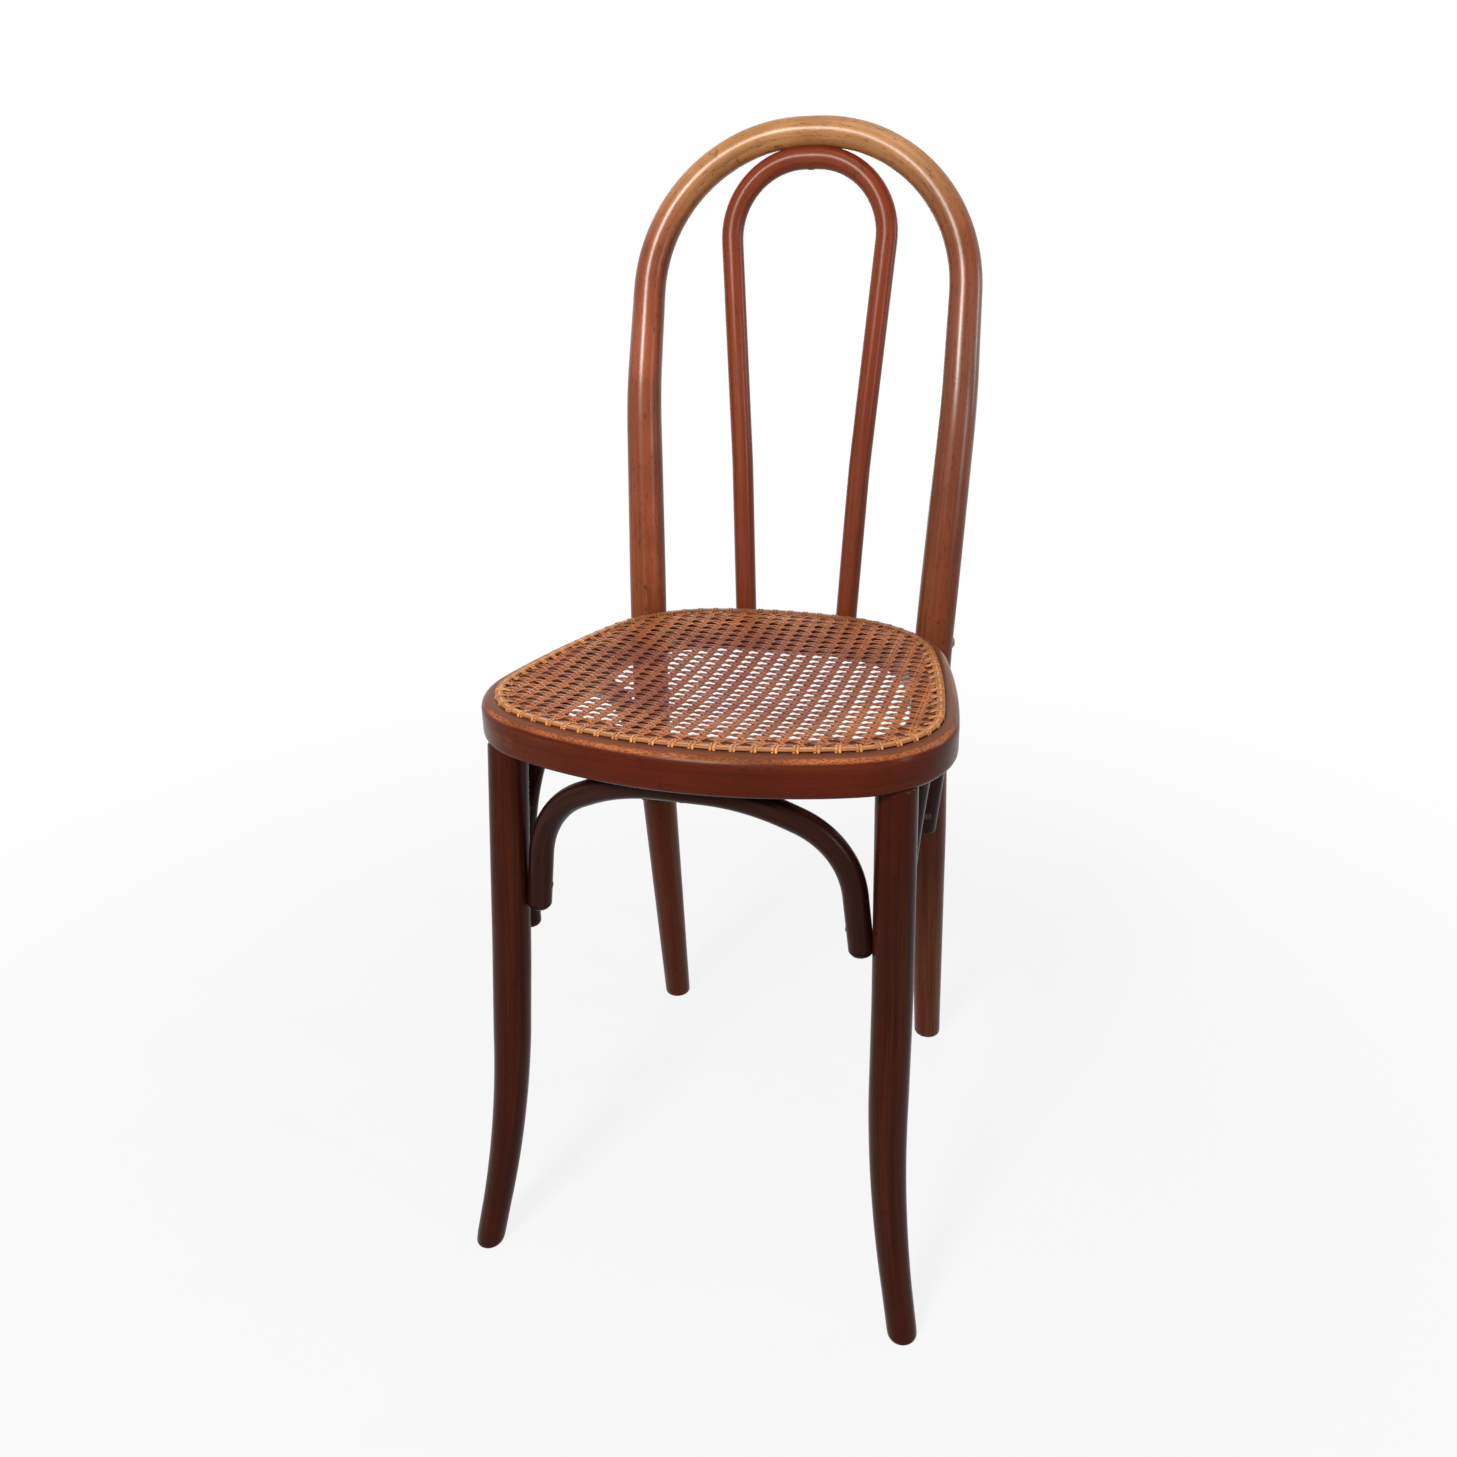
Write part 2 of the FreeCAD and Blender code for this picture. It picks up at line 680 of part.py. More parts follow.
def woven_panel():
    """The panel as one flat face with a gap wherever one fits inside the rim."""
    border = rim_outline(cane_hole_inset - binder_width / 2 - tie_thickness, seat_height)
    room = Part.Face(rim_outline(rim_width + web_clear_of_rim, seat_height))
    columns = math.floor(room.BoundBox.XMax / web_pitch_across)
    rows = math.floor(room.BoundBox.YLength / web_pitch_along)
    middle_y = room.BoundBox.Center.y
    gaps = []
    for column in range(-columns, columns + 1):
        for row in range(rows):
            corners = gap_outline(column * web_pitch_across,
                                  middle_y + (row - (rows - 1) / 2) * web_pitch_along)
            if all(room.isInside(corner, touch_gap, True) for corner in corners):
                gaps.append(Part.makePolygon(corners + corners[:1]))
    face = Part.makeFace(Part.Compound([border] + gaps), "Part::FaceMakerBullseye")
    return face.extrude(up * web_thickness)


def tie(place):
    """One loop of fine cane where it lies over the binder."""
    outward = level_direction(place, nearest_on_rim(place))
    bar = Part.makeBox(binder_width + 2 * tie_thickness, tie_width, tie_thickness,
                       V(-binder_width / 2 - tie_thickness, -tie_width / 2, 0))
    turn = FreeCAD.Rotation(outward, up.cross(outward), up, "ZXY")
    bar.Placement = FreeCAD.Placement(place + up * (web_thickness + binder_thickness), turn)
    return bar


pieces["cane_web"] = woven_panel()
pieces["cane_binder"] = rim_slab(cane_hole_inset - binder_width / 2, cane_hole_inset + binder_width / 2,
                                 seat_height + web_thickness, binder_thickness)
pieces["cane_binder_loops"] = Part.Compound([tie(place) for place in hole_places])

# Rods with their screw holes and seats
frame_holes = [both_sides(hole) for hole in (bolt_hole, screw_hole(*side_rear_screw))]
pieces["back_frame"] = frame_rod.cut(group(frame_holes + [screw_hole(*loop_top_screw)]))
loop_holes = group([both_sides(screw_hole(*loop_foot_screw)), screw_hole(*loop_top_screw)])
pieces["inner_loop"] = loop_rod.cut(frame_rod).cut(loop_holes)
leg_holes = group([screw_hole(*screw) for screw in (tenon_screw, front_foot_screw, side_front_screw)])
leg = leg_blank.cut(leg_holes)
front_holes = group([both_sides(screw_hole(*front_foot_screw)), screw_hole(*front_crown_screw)])
pieces["front_arch"] = front_brace_rod.cut(both_sides(leg_rod)).cut(front_holes)
side_screws = (side_front_screw, side_crown_screw, side_rear_screw)
side_screw_holes = group([screw_hole(*screw) for screw in side_screws])
side_arch = side_brace_rod.cut(leg_rod).cut(frame_rod).cut(side_screw_holes)
for side, right_shape in (("front_leg", leg), ("side_arch", side_arch)):
    pieces[side + "_right"] = right_shape
    pieces[side + "_left"] = mirrored(right_shape)

# Fasteners
pieces["back_bolts"] = both_sides(bolt)
pieces["back_bolt_washers"] = group([both_sides(outer_washer), both_sides(inner_washer)])
pieces["back_bolt_nuts"] = both_sides(nut)
pieces["loop_top_screw"] = wood_screw(*loop_top_screw)
pieces["loop_foot_screws"] = both_sides(wood_screw(*loop_foot_screw))
pieces["leg_tenon_screws"] = both_sides(wood_screw(*tenon_screw))
pieces["front_arch_foot_screws"] = both_sides(wood_screw(*front_foot_screw))
pieces["front_arch_crown_screw"] = wood_screw(*front_crown_screw)
pieces["side_arch_front_screws"] = both_sides(wood_screw(*side_front_screw))
pieces["side_arch_rear_screws"] = both_sides(wood_screw(*side_rear_screw))
pieces["side_arch_crown_screws"] = both_sides(wood_screw(*side_crown_screw))

# Place the origin under the middle of the chair, and write every piece
room_taken = Part.Compound(list(pieces.values())).BoundBox
to_middle = V(-room_taken.Center.x, -room_taken.Center.y, 0)
os.makedirs("parts", exist_ok=True)
for name, shape in pieces.items():
    shape.translated(to_middle).exportStep(f"parts/{name}.step")
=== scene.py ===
"""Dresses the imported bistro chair: bent rods, seat rim, woven cane, fasteners, finishes, light and camera."""

import bisect
import math
import random
from contextlib import contextmanager

import bmesh
import bpy
from mathutils import Matrix, Vector


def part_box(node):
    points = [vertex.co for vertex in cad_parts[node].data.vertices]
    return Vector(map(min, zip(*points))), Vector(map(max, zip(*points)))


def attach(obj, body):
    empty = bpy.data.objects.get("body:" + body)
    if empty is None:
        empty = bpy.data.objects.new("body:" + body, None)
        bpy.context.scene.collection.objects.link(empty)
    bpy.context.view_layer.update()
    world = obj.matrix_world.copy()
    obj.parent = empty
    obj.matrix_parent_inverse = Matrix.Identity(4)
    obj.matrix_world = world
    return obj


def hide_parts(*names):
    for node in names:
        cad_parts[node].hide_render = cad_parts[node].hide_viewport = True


bl_info = {
    "name": "Bentwood Bistro Chair",
    "version": (1, 0, 0),
    "blender": (4, 5, 0),
    "location": "3D View > Sidebar > Bistro Chair",
    "description": "Bends, weaves and finishes a bentwood chair with a caned seat",
    "category": "Add Mesh",
}

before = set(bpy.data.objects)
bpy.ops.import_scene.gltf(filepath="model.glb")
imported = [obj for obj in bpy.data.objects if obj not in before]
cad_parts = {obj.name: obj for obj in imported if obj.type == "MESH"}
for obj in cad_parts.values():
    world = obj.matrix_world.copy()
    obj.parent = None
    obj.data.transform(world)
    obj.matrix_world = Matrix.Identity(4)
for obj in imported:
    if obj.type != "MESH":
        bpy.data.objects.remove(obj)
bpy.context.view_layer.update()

MM = 0.001
UP = Vector((0, 0, 1))
RIM_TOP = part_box("seat_ring")[1].z
RIM_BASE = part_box("seat_ring")[0].z


def mm(x, y, z):
    """A place given in millimetres."""
    return Vector((x, y, z)) * MM


def tint(red, green, blue):
    """A colour as a paint card gives it, from 0 to 255, turned into light values."""
    def linear(value):
        share = value / 255
        return share / 12.92 if share <= 0.04045 else ((share + 0.055) / 1.055) ** 2.4
    return linear(red), linear(green), linear(blue), 1.0


def flip(place):
    """The same place on the other side of the chair."""
    return Vector((-place.x, place.y, place.z))


# Sizes and colours that a user would change

def length(name, description, value):
    """A length in metres for the sidebar."""
    return bpy.props.FloatProperty(name=name, description=description, default=value, min=0.0,
                                   subtype="DISTANCE", unit="LENGTH", precision=4)


def colour(name, description, value):
    """A colour for the sidebar."""
    return bpy.props.FloatVectorProperty(name=name, description=description, default=value, size=4,
                                         min=0.0, max=1.0, subtype="COLOR")


class ChairSizes(bpy.types.PropertyGroup):
    """Thicknesses and spacings of the chair's pieces."""
    frame_foot: length("Frame at the foot", "Diameter of the back frame on the floor", 0.0260)
    frame_seat: length("Frame at the seat", "Diameter of the back frame beside the seat", 0.0336)
    frame_crown: length("Frame at the crown", "Diameter of the back frame at the top of the hoop", 0.0248)
    loop_rod: length("Inner loop", "Diameter of the inner loop", 0.0194)
    leg_rod: length("Front leg", "Diameter of a front leg under the seat", 0.0300)
    leg_foot: length("Front leg at the foot", "Diameter of a front leg on the floor", 0.0226)
    brace_rod: length("Brace", "Diameter of the bent braces", 0.0190)
    rim_width: length("Rim width", "Width of the seat rim, seen from above", 0.0360)
    ring_step: length("Ring spacing", "Distance between the rings of faces along a rod", 0.0080)
    foot_round: length("Foot rounding", "Rounding of the edge of a foot", 0.0034)
    strand_width: length("Strand width", "Width of a cane strand", 0.0021)
    strand_thickness: length("Strand thickness", "Thickness of a cane strand", 0.0005)
    column_pitch: length("Column pitch", "Distance between two pairs of upright strands", 0.0139)
    row_pitch: length("Row pitch", "Distance between two pairs of crosswise strands", 0.0108)
    panel_sag: length("Panel sag", "How far the middle of the panel has sunk", 0.0085)
    hole_pitch: length("Hole pitch", "Distance between two holes of the rim", 0.0140)
    hole_inset: length("Hole inset", "Distance of the holes from the rim's outer edge", 0.0140)


class ChairFinish(bpy.types.PropertyGroup):
    """Colours of the stained beech, the cane and the fasteners."""
    # The hoop, stiles and rear legs grow lighter upwards: partly the stain, partly painted light from above.
    # hoop_low also serves as painted shade on the right stile.
    hoop_high: colour("Hoop", "Stain at the top of the hoop, worn light", tint(214, 152, 92))
    hoop_middle: colour("Stiles", "Stain on the stiles above the seat", tint(152, 74, 42))
    hoop_low: colour("Rear legs", "Stain on the rear legs", tint(86, 28, 11))
    loop_stain: colour("Inner loop", "Stain of the inner loop", tint(136, 53, 28))
    loop_low: colour("Inner loop, low", "Stain of the inner loop beside the seat", tint(114, 46, 26))
    rim_stain: colour("Seat rim", "Stain of the seat rim", tint(86, 28, 11))
    rim_worn: colour("Worn edge", "Bare wood along the rim's upper edge", tint(188, 112, 68))
    rim_top: colour("Rim top", "Dulled varnish on top of the rim", tint(116, 70, 50))
    leg_stain: colour("Front legs", "Stain of the front legs", tint(60, 17, 8))
    brace_stain: colour("Braces", "Stain of the braces", tint(37, 11, 7))
    cane_gold: colour("Cane", "Cane at the border", tint(206, 124, 66))
    cane_brown: colour("Worn cane", "Cane in the middle of the seat", tint(152, 78, 52))
    steel: colour("Steel", "Bolts, nuts and screws", tint(120, 112, 102))


# Modelling by hand: choosing, bending, copying

MOST_CUTS = 90
ROD_SIDES = 32
FEET_BELOW = 0.05


def clear_bench():
    """Nothing selected, so that the next operator acts on the new piece alone."""
    if bpy.context.object and bpy.context.object.mode != "OBJECT":
        bpy.ops.object.mode_set(mode="OBJECT")
    bpy.ops.object.select_all(action="DESELECT")


def take(piece):
    """Only this piece selected and active."""
    clear_bench()
    piece.select_set(True)
    bpy.context.view_layer.objects.active = piece


@contextmanager
def editing(piece):
    """Edit mode on this piece alone, for as long as the block lasts."""
    take(piece)
    bpy.ops.object.mode_set(mode="EDIT")
    yield
    bpy.ops.object.mode_set(mode="OBJECT")


def pick(piece, part, wanted):
    """In edit mode, selects the VERT, EDGE or FACE parts that pass a test."""
    bpy.ops.mesh.select_mode(type=part)
    bpy.ops.mesh.select_all(action="DESELECT")
    mesh = bmesh.from_edit_mesh(piece.data)
    for item in {"VERT": mesh.verts, "EDGE": mesh.edges, "FACE": mesh.faces}[part]:
        if wanted(item):
            item.select_set(True)
    mesh.select_flush_mode()
    bmesh.update_edit_mesh(piece.data)


def face_outward():
    """In edit mode, turns every face outwards."""
    bpy.ops.mesh.select_all(action="SELECT")
    bpy.ops.mesh.normals_make_consistent(inside=False)


def middle(edge):
    """The middle of an edge."""
    return (edge.verts[0].co + edge.verts[1].co) / 2


def along_x(edge):
    """True for an edge that lies along X."""
    run = edge.verts[1].co - edge.verts[0].co
    return abs(run.x) > 0.99 * run.length


def is_end(face):
    """True for the cut ends of a rod, which have many sides."""
    return len(face.verts) > 8


def ring_up(piece, span, step):
    """Divides the long edges of a straight blank into rings, in two rounds where there are many."""
    count = max(2, round(span / step))
    rounds = math.ceil(count / MOST_CUTS)
    for parts in (rounds, round(count / rounds)):
        if parts > 1:
            pick(piece, "EDGE", along_x)
            bpy.ops.mesh.subdivide(number_cuts=parts - 1)


def settle(piece):
    """Puts the piece's place into its mesh."""
    take(piece)
    bpy.ops.object.transform_apply(location=True, rotation=True, scale=True)


def named(name):
    """The primitive that was just added, named and settled."""
    piece = bpy.context.object
    piece.name = name
    settle(piece)
    return piece


def turned_blank(name, sides, radius, start, span):
    """A straight blank along X with a number of sides, from a start onwards."""
    clear_bench()
    bpy.ops.mesh.primitive_cylinder_add(vertices=sides, radius=radius, depth=span, end_fill_type="NGON",
                                        location=(start + span / 2, 0, 0), rotation=(0, math.pi / 2, 0))
    return named(name)


def squared_blank(name, centre, scale):
    """A block round a place on the X axis."""
    clear_bench()
    bpy.ops.mesh.primitive_cube_add(size=1, location=(centre, 0, 0), scale=scale)
    return named(name)


def keep_grain(piece):
    """Stores where each corner lies on the straight blank, so that the grain follows the bend."""
    grain = piece.data.attributes.new("grain", "FLOAT_VECTOR", "CORNER")
    places = [piece.data.vertices[corner.vertex_index].co for corner in piece.data.loops]
    grain.data.foreach_set("vector", [part for place in places for part in place])


def bar_blank(name, span, width, height, step, rounded, closed=False):
    """A straight bar along X. Each rounding is (side, top, offset, segments) of one long edge."""
    piece = squared_blank(name, span / 2, (span, width, height))
    with editing(piece):
        if closed:
            pick(piece, "FACE", lambda face: abs(face.normal.x) > 0.9)
            bpy.ops.mesh.delete(type="FACE")
        for side, top, offset, segments in rounded:
            corner = Vector((0, side * width / 2, top * height / 2))
            pick(piece, "EDGE", lambda edge: along_x(edge)
                 and (Vector((0, middle(edge).y, middle(edge).z)) - corner).length < 1e-5)
            bpy.ops.mesh.bevel(offset=offset, segments=segments, affect="EDGES")
        ring_up(piece, span, step)
    keep_grain(piece)
    return piece


def both_edges(top, offset, segments=1):
    """The same rounding for both upper edges of a bar, top 1, or both lower ones, top -1."""
    return [(side, top, offset, segments) for side in (-1, 1)]


def bend_along(piece, path):
    """Bends a straight blank along a path, then clears the path away."""
    take(piece)
    bend = piece.modifiers.new("Bend", "CURVE")
    bend.object = path
    bend.deform_axis = "POS_X"
    bpy.ops.object.modifier_apply(modifier=bend.name)
    line = path.data
    bpy.data.objects.remove(path)
    bpy.data.curves.remove(line)


def smooth(piece, angle=40):
    """Smooth shading, with edges sharper than an angle kept crisp."""
    take(piece)
    bpy.ops.object.shade_smooth_by_angle(angle=math.radians(angle))


def give_tone(piece, value):
    """One tone for the whole strand."""
    tone = piece.data.attributes.get("tone") or piece.data.attributes.new("tone", "FLOAT", "POINT")
    tone.data.foreach_set("value", [value] * len(piece.data.vertices))


def duplicate(piece):
    """A copy of the piece with its own mesh."""
    twin = piece.copy()
    twin.data = piece.data.copy()
    bpy.context.collection.objects.link(twin)
    return twin


def mirrored_twin(piece, name):
    """The same piece for the other side of the chair."""
    twin = duplicate(piece)
    twin.name = name
    twin.scale = (-1, 1, 1)
    settle(twin)
    with editing(twin):
        face_outward()
    return twin


def copies(piece, spots, chance=None):
    """The piece set at each spot, (place, direction, turn), and joined; chance gives each copy a tone."""
    twins = [piece] + [duplicate(piece) for _ in spots[1:]]
    clear_bench()
    for twin, (place, along, turn) in zip(twins, spots):
        if chance:
            give_tone(twin, chance.random())
        twin.matrix_world = facing(place, along) @ Matrix.Rotation(turn, 4, "X")
        twin.select_set(True)
    bpy.context.view_layer.objects.active = piece
    bpy.ops.object.join()
    settle(piece)


def facing(place, along):
    """A matrix that sets a piece at a place with its X axis along a direction."""
    x = along.normalized()
    y = UP.cross(x).normalized() if abs(x.dot(UP)) < 0.9 else Vector((1, 0, 0))
    turn = Matrix((x, y, x.cross(y))).transposed().to_4x4()
    return Matrix.Translation(place) @ turn


def fit(piece, material, slot, *nodes):
    """Gives a finished piece its material and its place on the chair."""
    piece.data.materials.clear()
    piece.data.materials.append(material)
    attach(piece, "root")
    if nodes:
        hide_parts(*nodes)


# Paths: straight runs joined by bends, as the maker's former gives them

def route(corners, bends):
    """Knots of a path and its segments: each segment is (length, handle out, handle in)."""
    places = [corners[0]]
    segments = []

    def run_to(place):
        third = (place - places[-1]) / 3
        segments.append(((place - places[-1]).length, third, third))
        places.append(place)

    for before, corner, after, radius in zip(corners, corners[1:], corners[2:], bends):
        into = (corner - before).normalized()
        out = (after - corner).normalized()
        turn = into.angle(out)
        if not radius:
            run_to(corner)
            continue
        reach = radius * math.tan(turn / 2)
        run_to(corner - into * reach)
        handle = 4 / 3 * math.tan(turn / 4) * radius
        segments.append((radius * turn, into * handle, out * handle))
        places.append(corner + out * reach)
    run_to(corners[-1])
    return places, segments


def lay_path(name, places, segments, swell=None, closed=False):
    """A curve object through the knots. swell gives its thickness at a distance, as a share."""
    line = bpy.data.curves.new(name, "CURVE")
    line.dimensions = "3D"
    line.resolution_u = 40
    line.twist_mode = "Z_UP" if closed else "MINIMUM"
    line.use_radius = True
    spline = line.splines.new("BEZIER")
    spline.bezier_points.add(len(places) - 1)
    spline.use_cyclic_u = closed
    travelled = 0.0
    for k, (knot, place) in enumerate(zip(spline.bezier_points, places)):
        knot.handle_left_type = knot.handle_right_type = "FREE"
        knot.co = place
        before = segments[k - 1] if k or closed else None
        after = segments[k] if k < len(segments) else None
        knot.handle_left = place - (before[2] if before else after[1])
        knot.handle_right = place + (after[1] if after else before[2])
        knot.radius = swell(travelled) if swell else 1.0
        travelled += after[0] if after else 0.0
    path = bpy.data.objects.new(name, line)
    bpy.context.collection.objects.link(path)
    return path, spline.calc_length(resolution=line.resolution_u)


def taper(marks):
    """A thickness that runs smoothly between (distance, thickness) marks."""
    def at(distance):
        for (near, near_size), (far, far_size) in zip(marks, marks[1:]):
            if distance <= far:
                share = max(0.0, (distance - near) / (far - near))
                return near_size + (far_size - near_size) * (1 - math.cos(math.pi * share)) / 2
        return marks[-1][1]
    return at


def flatten_foot(piece):
    """Brings the cut ends of a rod down flat on the floor."""
    pick(piece, "FACE", lambda face: is_end(face) and face.calc_center_median().z < FEET_BELOW)
    bpy.ops.transform.resize(value=(1, 1, 0), center_override=(0, 0, 0))


def soften_ends(piece, offset, segments):
    """Rounds the edge of each cut end."""
    pick(piece, "EDGE", lambda edge: any(is_end(face) for face in edge.link_faces))
    bpy.ops.mesh.bevel(offset=offset, segments=segments, affect="EDGES")


# The seat rim's outline, a chain of tangent arcs; the rear and the front have (radius, corner radius)

RIM_ARCS_REAR = (0.3080, 0.1174)
RIM_ARCS_FRONT = (0.3520, 0.0874)
RIM_SIDE_RADIUS = 0.7990
RIM_HALF_WIDTH = 0.1859
RIM_WIDEST_Y = -0.1703
RIM_REAR_Y = 0.1382
RIM_FRONT_Y = -0.2036
PANEL_CENTRE = Vector((0, -0.035, 0))
RIM_STEP, RIM_WELD = 0.006, 0.0002
RIM_ROUNDING = [(-1, 1, 0.008, 7), (-1, -1, 0.005, 5), (1, 1, 0.0025, 3), (1, -1, 0.0025, 3)]


def corner_centre(end_centre, end_radius, side_centre, side_radius, toward):
    """The centre of the corner that is tangent to the end and the side; toward is 1 for the rear."""
    across = side_centre - end_centre
    span = across.length
    along = (end_radius ** 2 - side_radius ** 2 + span ** 2) / (2 * span)
    off = math.sqrt(end_radius ** 2 - along ** 2)
    unit = across / span
    normal = Vector((-unit.y, unit.x, 0))
    found = [end_centre + unit * along + normal * off, end_centre + unit * along - normal * off]
    return max(found, key=lambda place: place.y * toward)


def rim_arcs():
    """(centre, radius, from direction, to direction) of each arc, counterclockwise from the front middle."""
    rear = Vector((0, RIM_REAR_Y - RIM_ARCS_REAR[0], 0))
    front = Vector((0, RIM_FRONT_Y + RIM_ARCS_FRONT[0], 0))
    side = Vector((RIM_HALF_WIDTH - RIM_SIDE_RADIUS, RIM_WIDEST_Y, 0))
    rear_corner = corner_centre(rear, RIM_ARCS_REAR[0] - RIM_ARCS_REAR[1],
                                side, RIM_SIDE_RADIUS - RIM_ARCS_REAR[1], 1)
    front_corner = corner_centre(front, RIM_ARCS_FRONT[0] - RIM_ARCS_FRONT[1],
                                 side, RIM_SIDE_RADIUS - RIM_ARCS_FRONT[1], -1)
    turns = [Vector((0, -1, 0)), (front_corner - front).normalized(), (front_corner - side).normalized(),
             (rear_corner - side).normalized(), (rear_corner - rear).normalized(), Vector((0, 1, 0))]
    arcs = [(front, RIM_ARCS_FRONT[0]), (front_corner, RIM_ARCS_FRONT[1]), (side, RIM_SIDE_RADIUS),
            (rear_corner, RIM_ARCS_REAR[1]), (rear, RIM_ARCS_REAR[0])]
    right = [(centre, radius, start, end) for (centre, radius), start, end in zip(arcs, turns, turns[1:])]
    left = [(flip(centre), radius, flip(end), flip(start)) for centre, radius, start, end in reversed(right)]
    return right + left


def lay_rim_path(name, inset, height):
    """A closed level path that follows the rim at an inset."""
    places, segments = [], []
    for centre, radius, start, end in rim_arcs():
        reach = radius - inset
        turn = start.angle(end)
        handle = 4 / 3 * math.tan(turn / 4) * reach
        places.append(centre + start * reach + UP * height)
        segments.append((reach * turn, UP.cross(start) * handle, UP.cross(end) * handle))
    return lay_path(name, places, segments, closed=True)


def rim_length(inset):
    """The way round the rim at an inset."""
    return sum((radius - inset) * start.angle(end) for _, radius, start, end in rim_arcs())


def rim_walk(inset, height, start, count):
    """Places at even steps round the rim at an inset, each with the outward direction there."""
    arcs = [(centre, radius - inset, first, first.angle(last)) for centre, radius, first, last in rim_arcs()]
    total = rim_length(inset)
    found = []
    for k in range(count):
        left = (start * total + k * (total / count)) % total
        for centre, radius, first, turn in arcs:
            if left <= radius * turn:
                out = Matrix.Rotation(left / radius, 3, "Z") @ first
                found.append((centre + out * radius + UP * height, out))
                break
            left -= radius * turn
    return found


def rim_reaches(inset, count=1440):
    """Directions round the panel's centre, in order, each with how far the rim lies at an inset."""
    runs = [place - PANEL_CENTRE for place, _ in rim_walk(inset, 0, 0, count)]
    return sorted((math.atan2(run.y, run.x), math.hypot(run.x, run.y)) for run in runs)


def rim_share(reaches, place):
    """0 at the panel's centre and 1 at the rim, in the direction of a place."""
    run = place - PANEL_CENTRE
    turn = math.atan2(run.y, run.x)
    _, reach = reaches[bisect.bisect(reaches, (turn,)) % len(reaches)]
    return math.hypot(run.x, run.y) / reach


# Finishes

class Signal:
    """A shader value that adds and multiplies like a number."""

    def __init__(self, finish, socket):
        self.finish = finish
        self.socket = socket

    def combined(self, operation, *values):
        return self.finish.node("ShaderNodeMath", {"operation": operation}, dict(enumerate(values)))["Value"]

    def __add__(self, other):
        return self.combined("ADD", self, other)

    def __sub__(self, other):
        return self.combined("SUBTRACT", self, other)

    def __rsub__(self, other):
        return self.combined("SUBTRACT", other, self)

    def __mul__(self, other):
        return self.combined("MULTIPLY", self, other)

    def __truediv__(self, other):
        return self.combined("DIVIDE", self, other)

    def __abs__(self):
        return self.combined("ABSOLUTE", self)

    __radd__ = __add__
    __rmul__ = __mul__

    def between(self, low, high):
        """0 below low, 1 above high, and smooth in between."""
        return self.finish.node("ShaderNodeMapRange", {"interpolation_type": "SMOOTHSTEP"},
                                {"Value": self, "From Min": low, "From Max": high})["Result"]


class Finish:
    """The nodes of a material or of the room, and the short calls that build them."""

    def __init__(self, holder):
        self.holder = holder
        holder.use_nodes = True
        self.tree = holder.node_tree
        self.tree.nodes.clear()

    def wire(self, made, inputs):
        """Links or sets the inputs of a node."""
        for key, value in inputs.items():
            if isinstance(value, Signal):
                self.tree.links.new(value.socket, made.inputs[key])
            else:
                made.inputs[key].default_value = value

    def node(self, kind, settings=None, inputs=None):
        """Adds a node, sets it up and links it; gives its outputs by name."""
        made = self.tree.nodes.new(kind)
        for key, value in (settings or {}).items():
            setattr(made, key, value)
        self.wire(made, inputs or {})
        return {output.name: Signal(self, output) for output in made.outputs if output.enabled}

    def place(self):
        """The place on the chair."""
        return self.node("ShaderNodeTexCoord")["Object"]

    def stored(self, name):
        """What the mesh stores: grain is the place on the straight blank, tone a strand's own shade."""
        return self.node("ShaderNodeAttribute", {"attribute_type": "GEOMETRY", "attribute_name": name})

    def split(self, vector):
        """The three parts of a place."""
        parts = self.node("ShaderNodeSeparateXYZ", None, {0: vector})
        return parts["X"], parts["Y"], parts["Z"]

    def noise(self, vector, scale, detail, roughness, shift=(0, 0, 0), distortion=0.0):
        """Soft noise from 0 to 1, with its own scale in each direction."""
        place = self.node("ShaderNodeMapping", None, {"Vector": vector, "Scale": scale, "Location": shift})
        inputs = {"Vector": place["Vector"], "Scale": 1.0, "Detail": detail, "Roughness": roughness,
                  "Distortion": distortion}
        return self.node("ShaderNodeTexNoise", None, inputs)["Fac"]

    def blend(self, share, first, second):
        """Two colours mixed by a share; a Mix node has its colours at 6 and 7 and gives the mix at 2."""
        made = self.tree.nodes.new("ShaderNodeMix")
        made.data_type = "RGBA"
        made.clamp_factor = True
        self.wire(made, {0: share, 6: first, 7: second})
        return Signal(self, made.outputs[2])

    def distance(self, first, second):
        """How far off the middle a place lies, from its two parts."""
        total = first * first + second * second
        return total.combined("SQRT", total)

    def close(self, base, roughness, height, depth, strength, **constants):
        """Joins everything into the surface shader."""
        bump = self.node("ShaderNodeBump", None, {"Strength": strength, "Distance": depth, "Height": height})
        inputs = {"Base Color": base, "Roughness": roughness, "Normal": bump["Normal"]}
        inputs.update({key.replace("_", " "): value for key, value in constants.items()})
        shader = self.node("ShaderNodeBsdfPrincipled", None, inputs)
        self.node("ShaderNodeOutputMaterial", None, {"Surface": shader["BSDF"]})
        return self.holder


def material_finish(name):
    """The finish of a new material."""
    return Finish(bpy.data.materials.new(name))


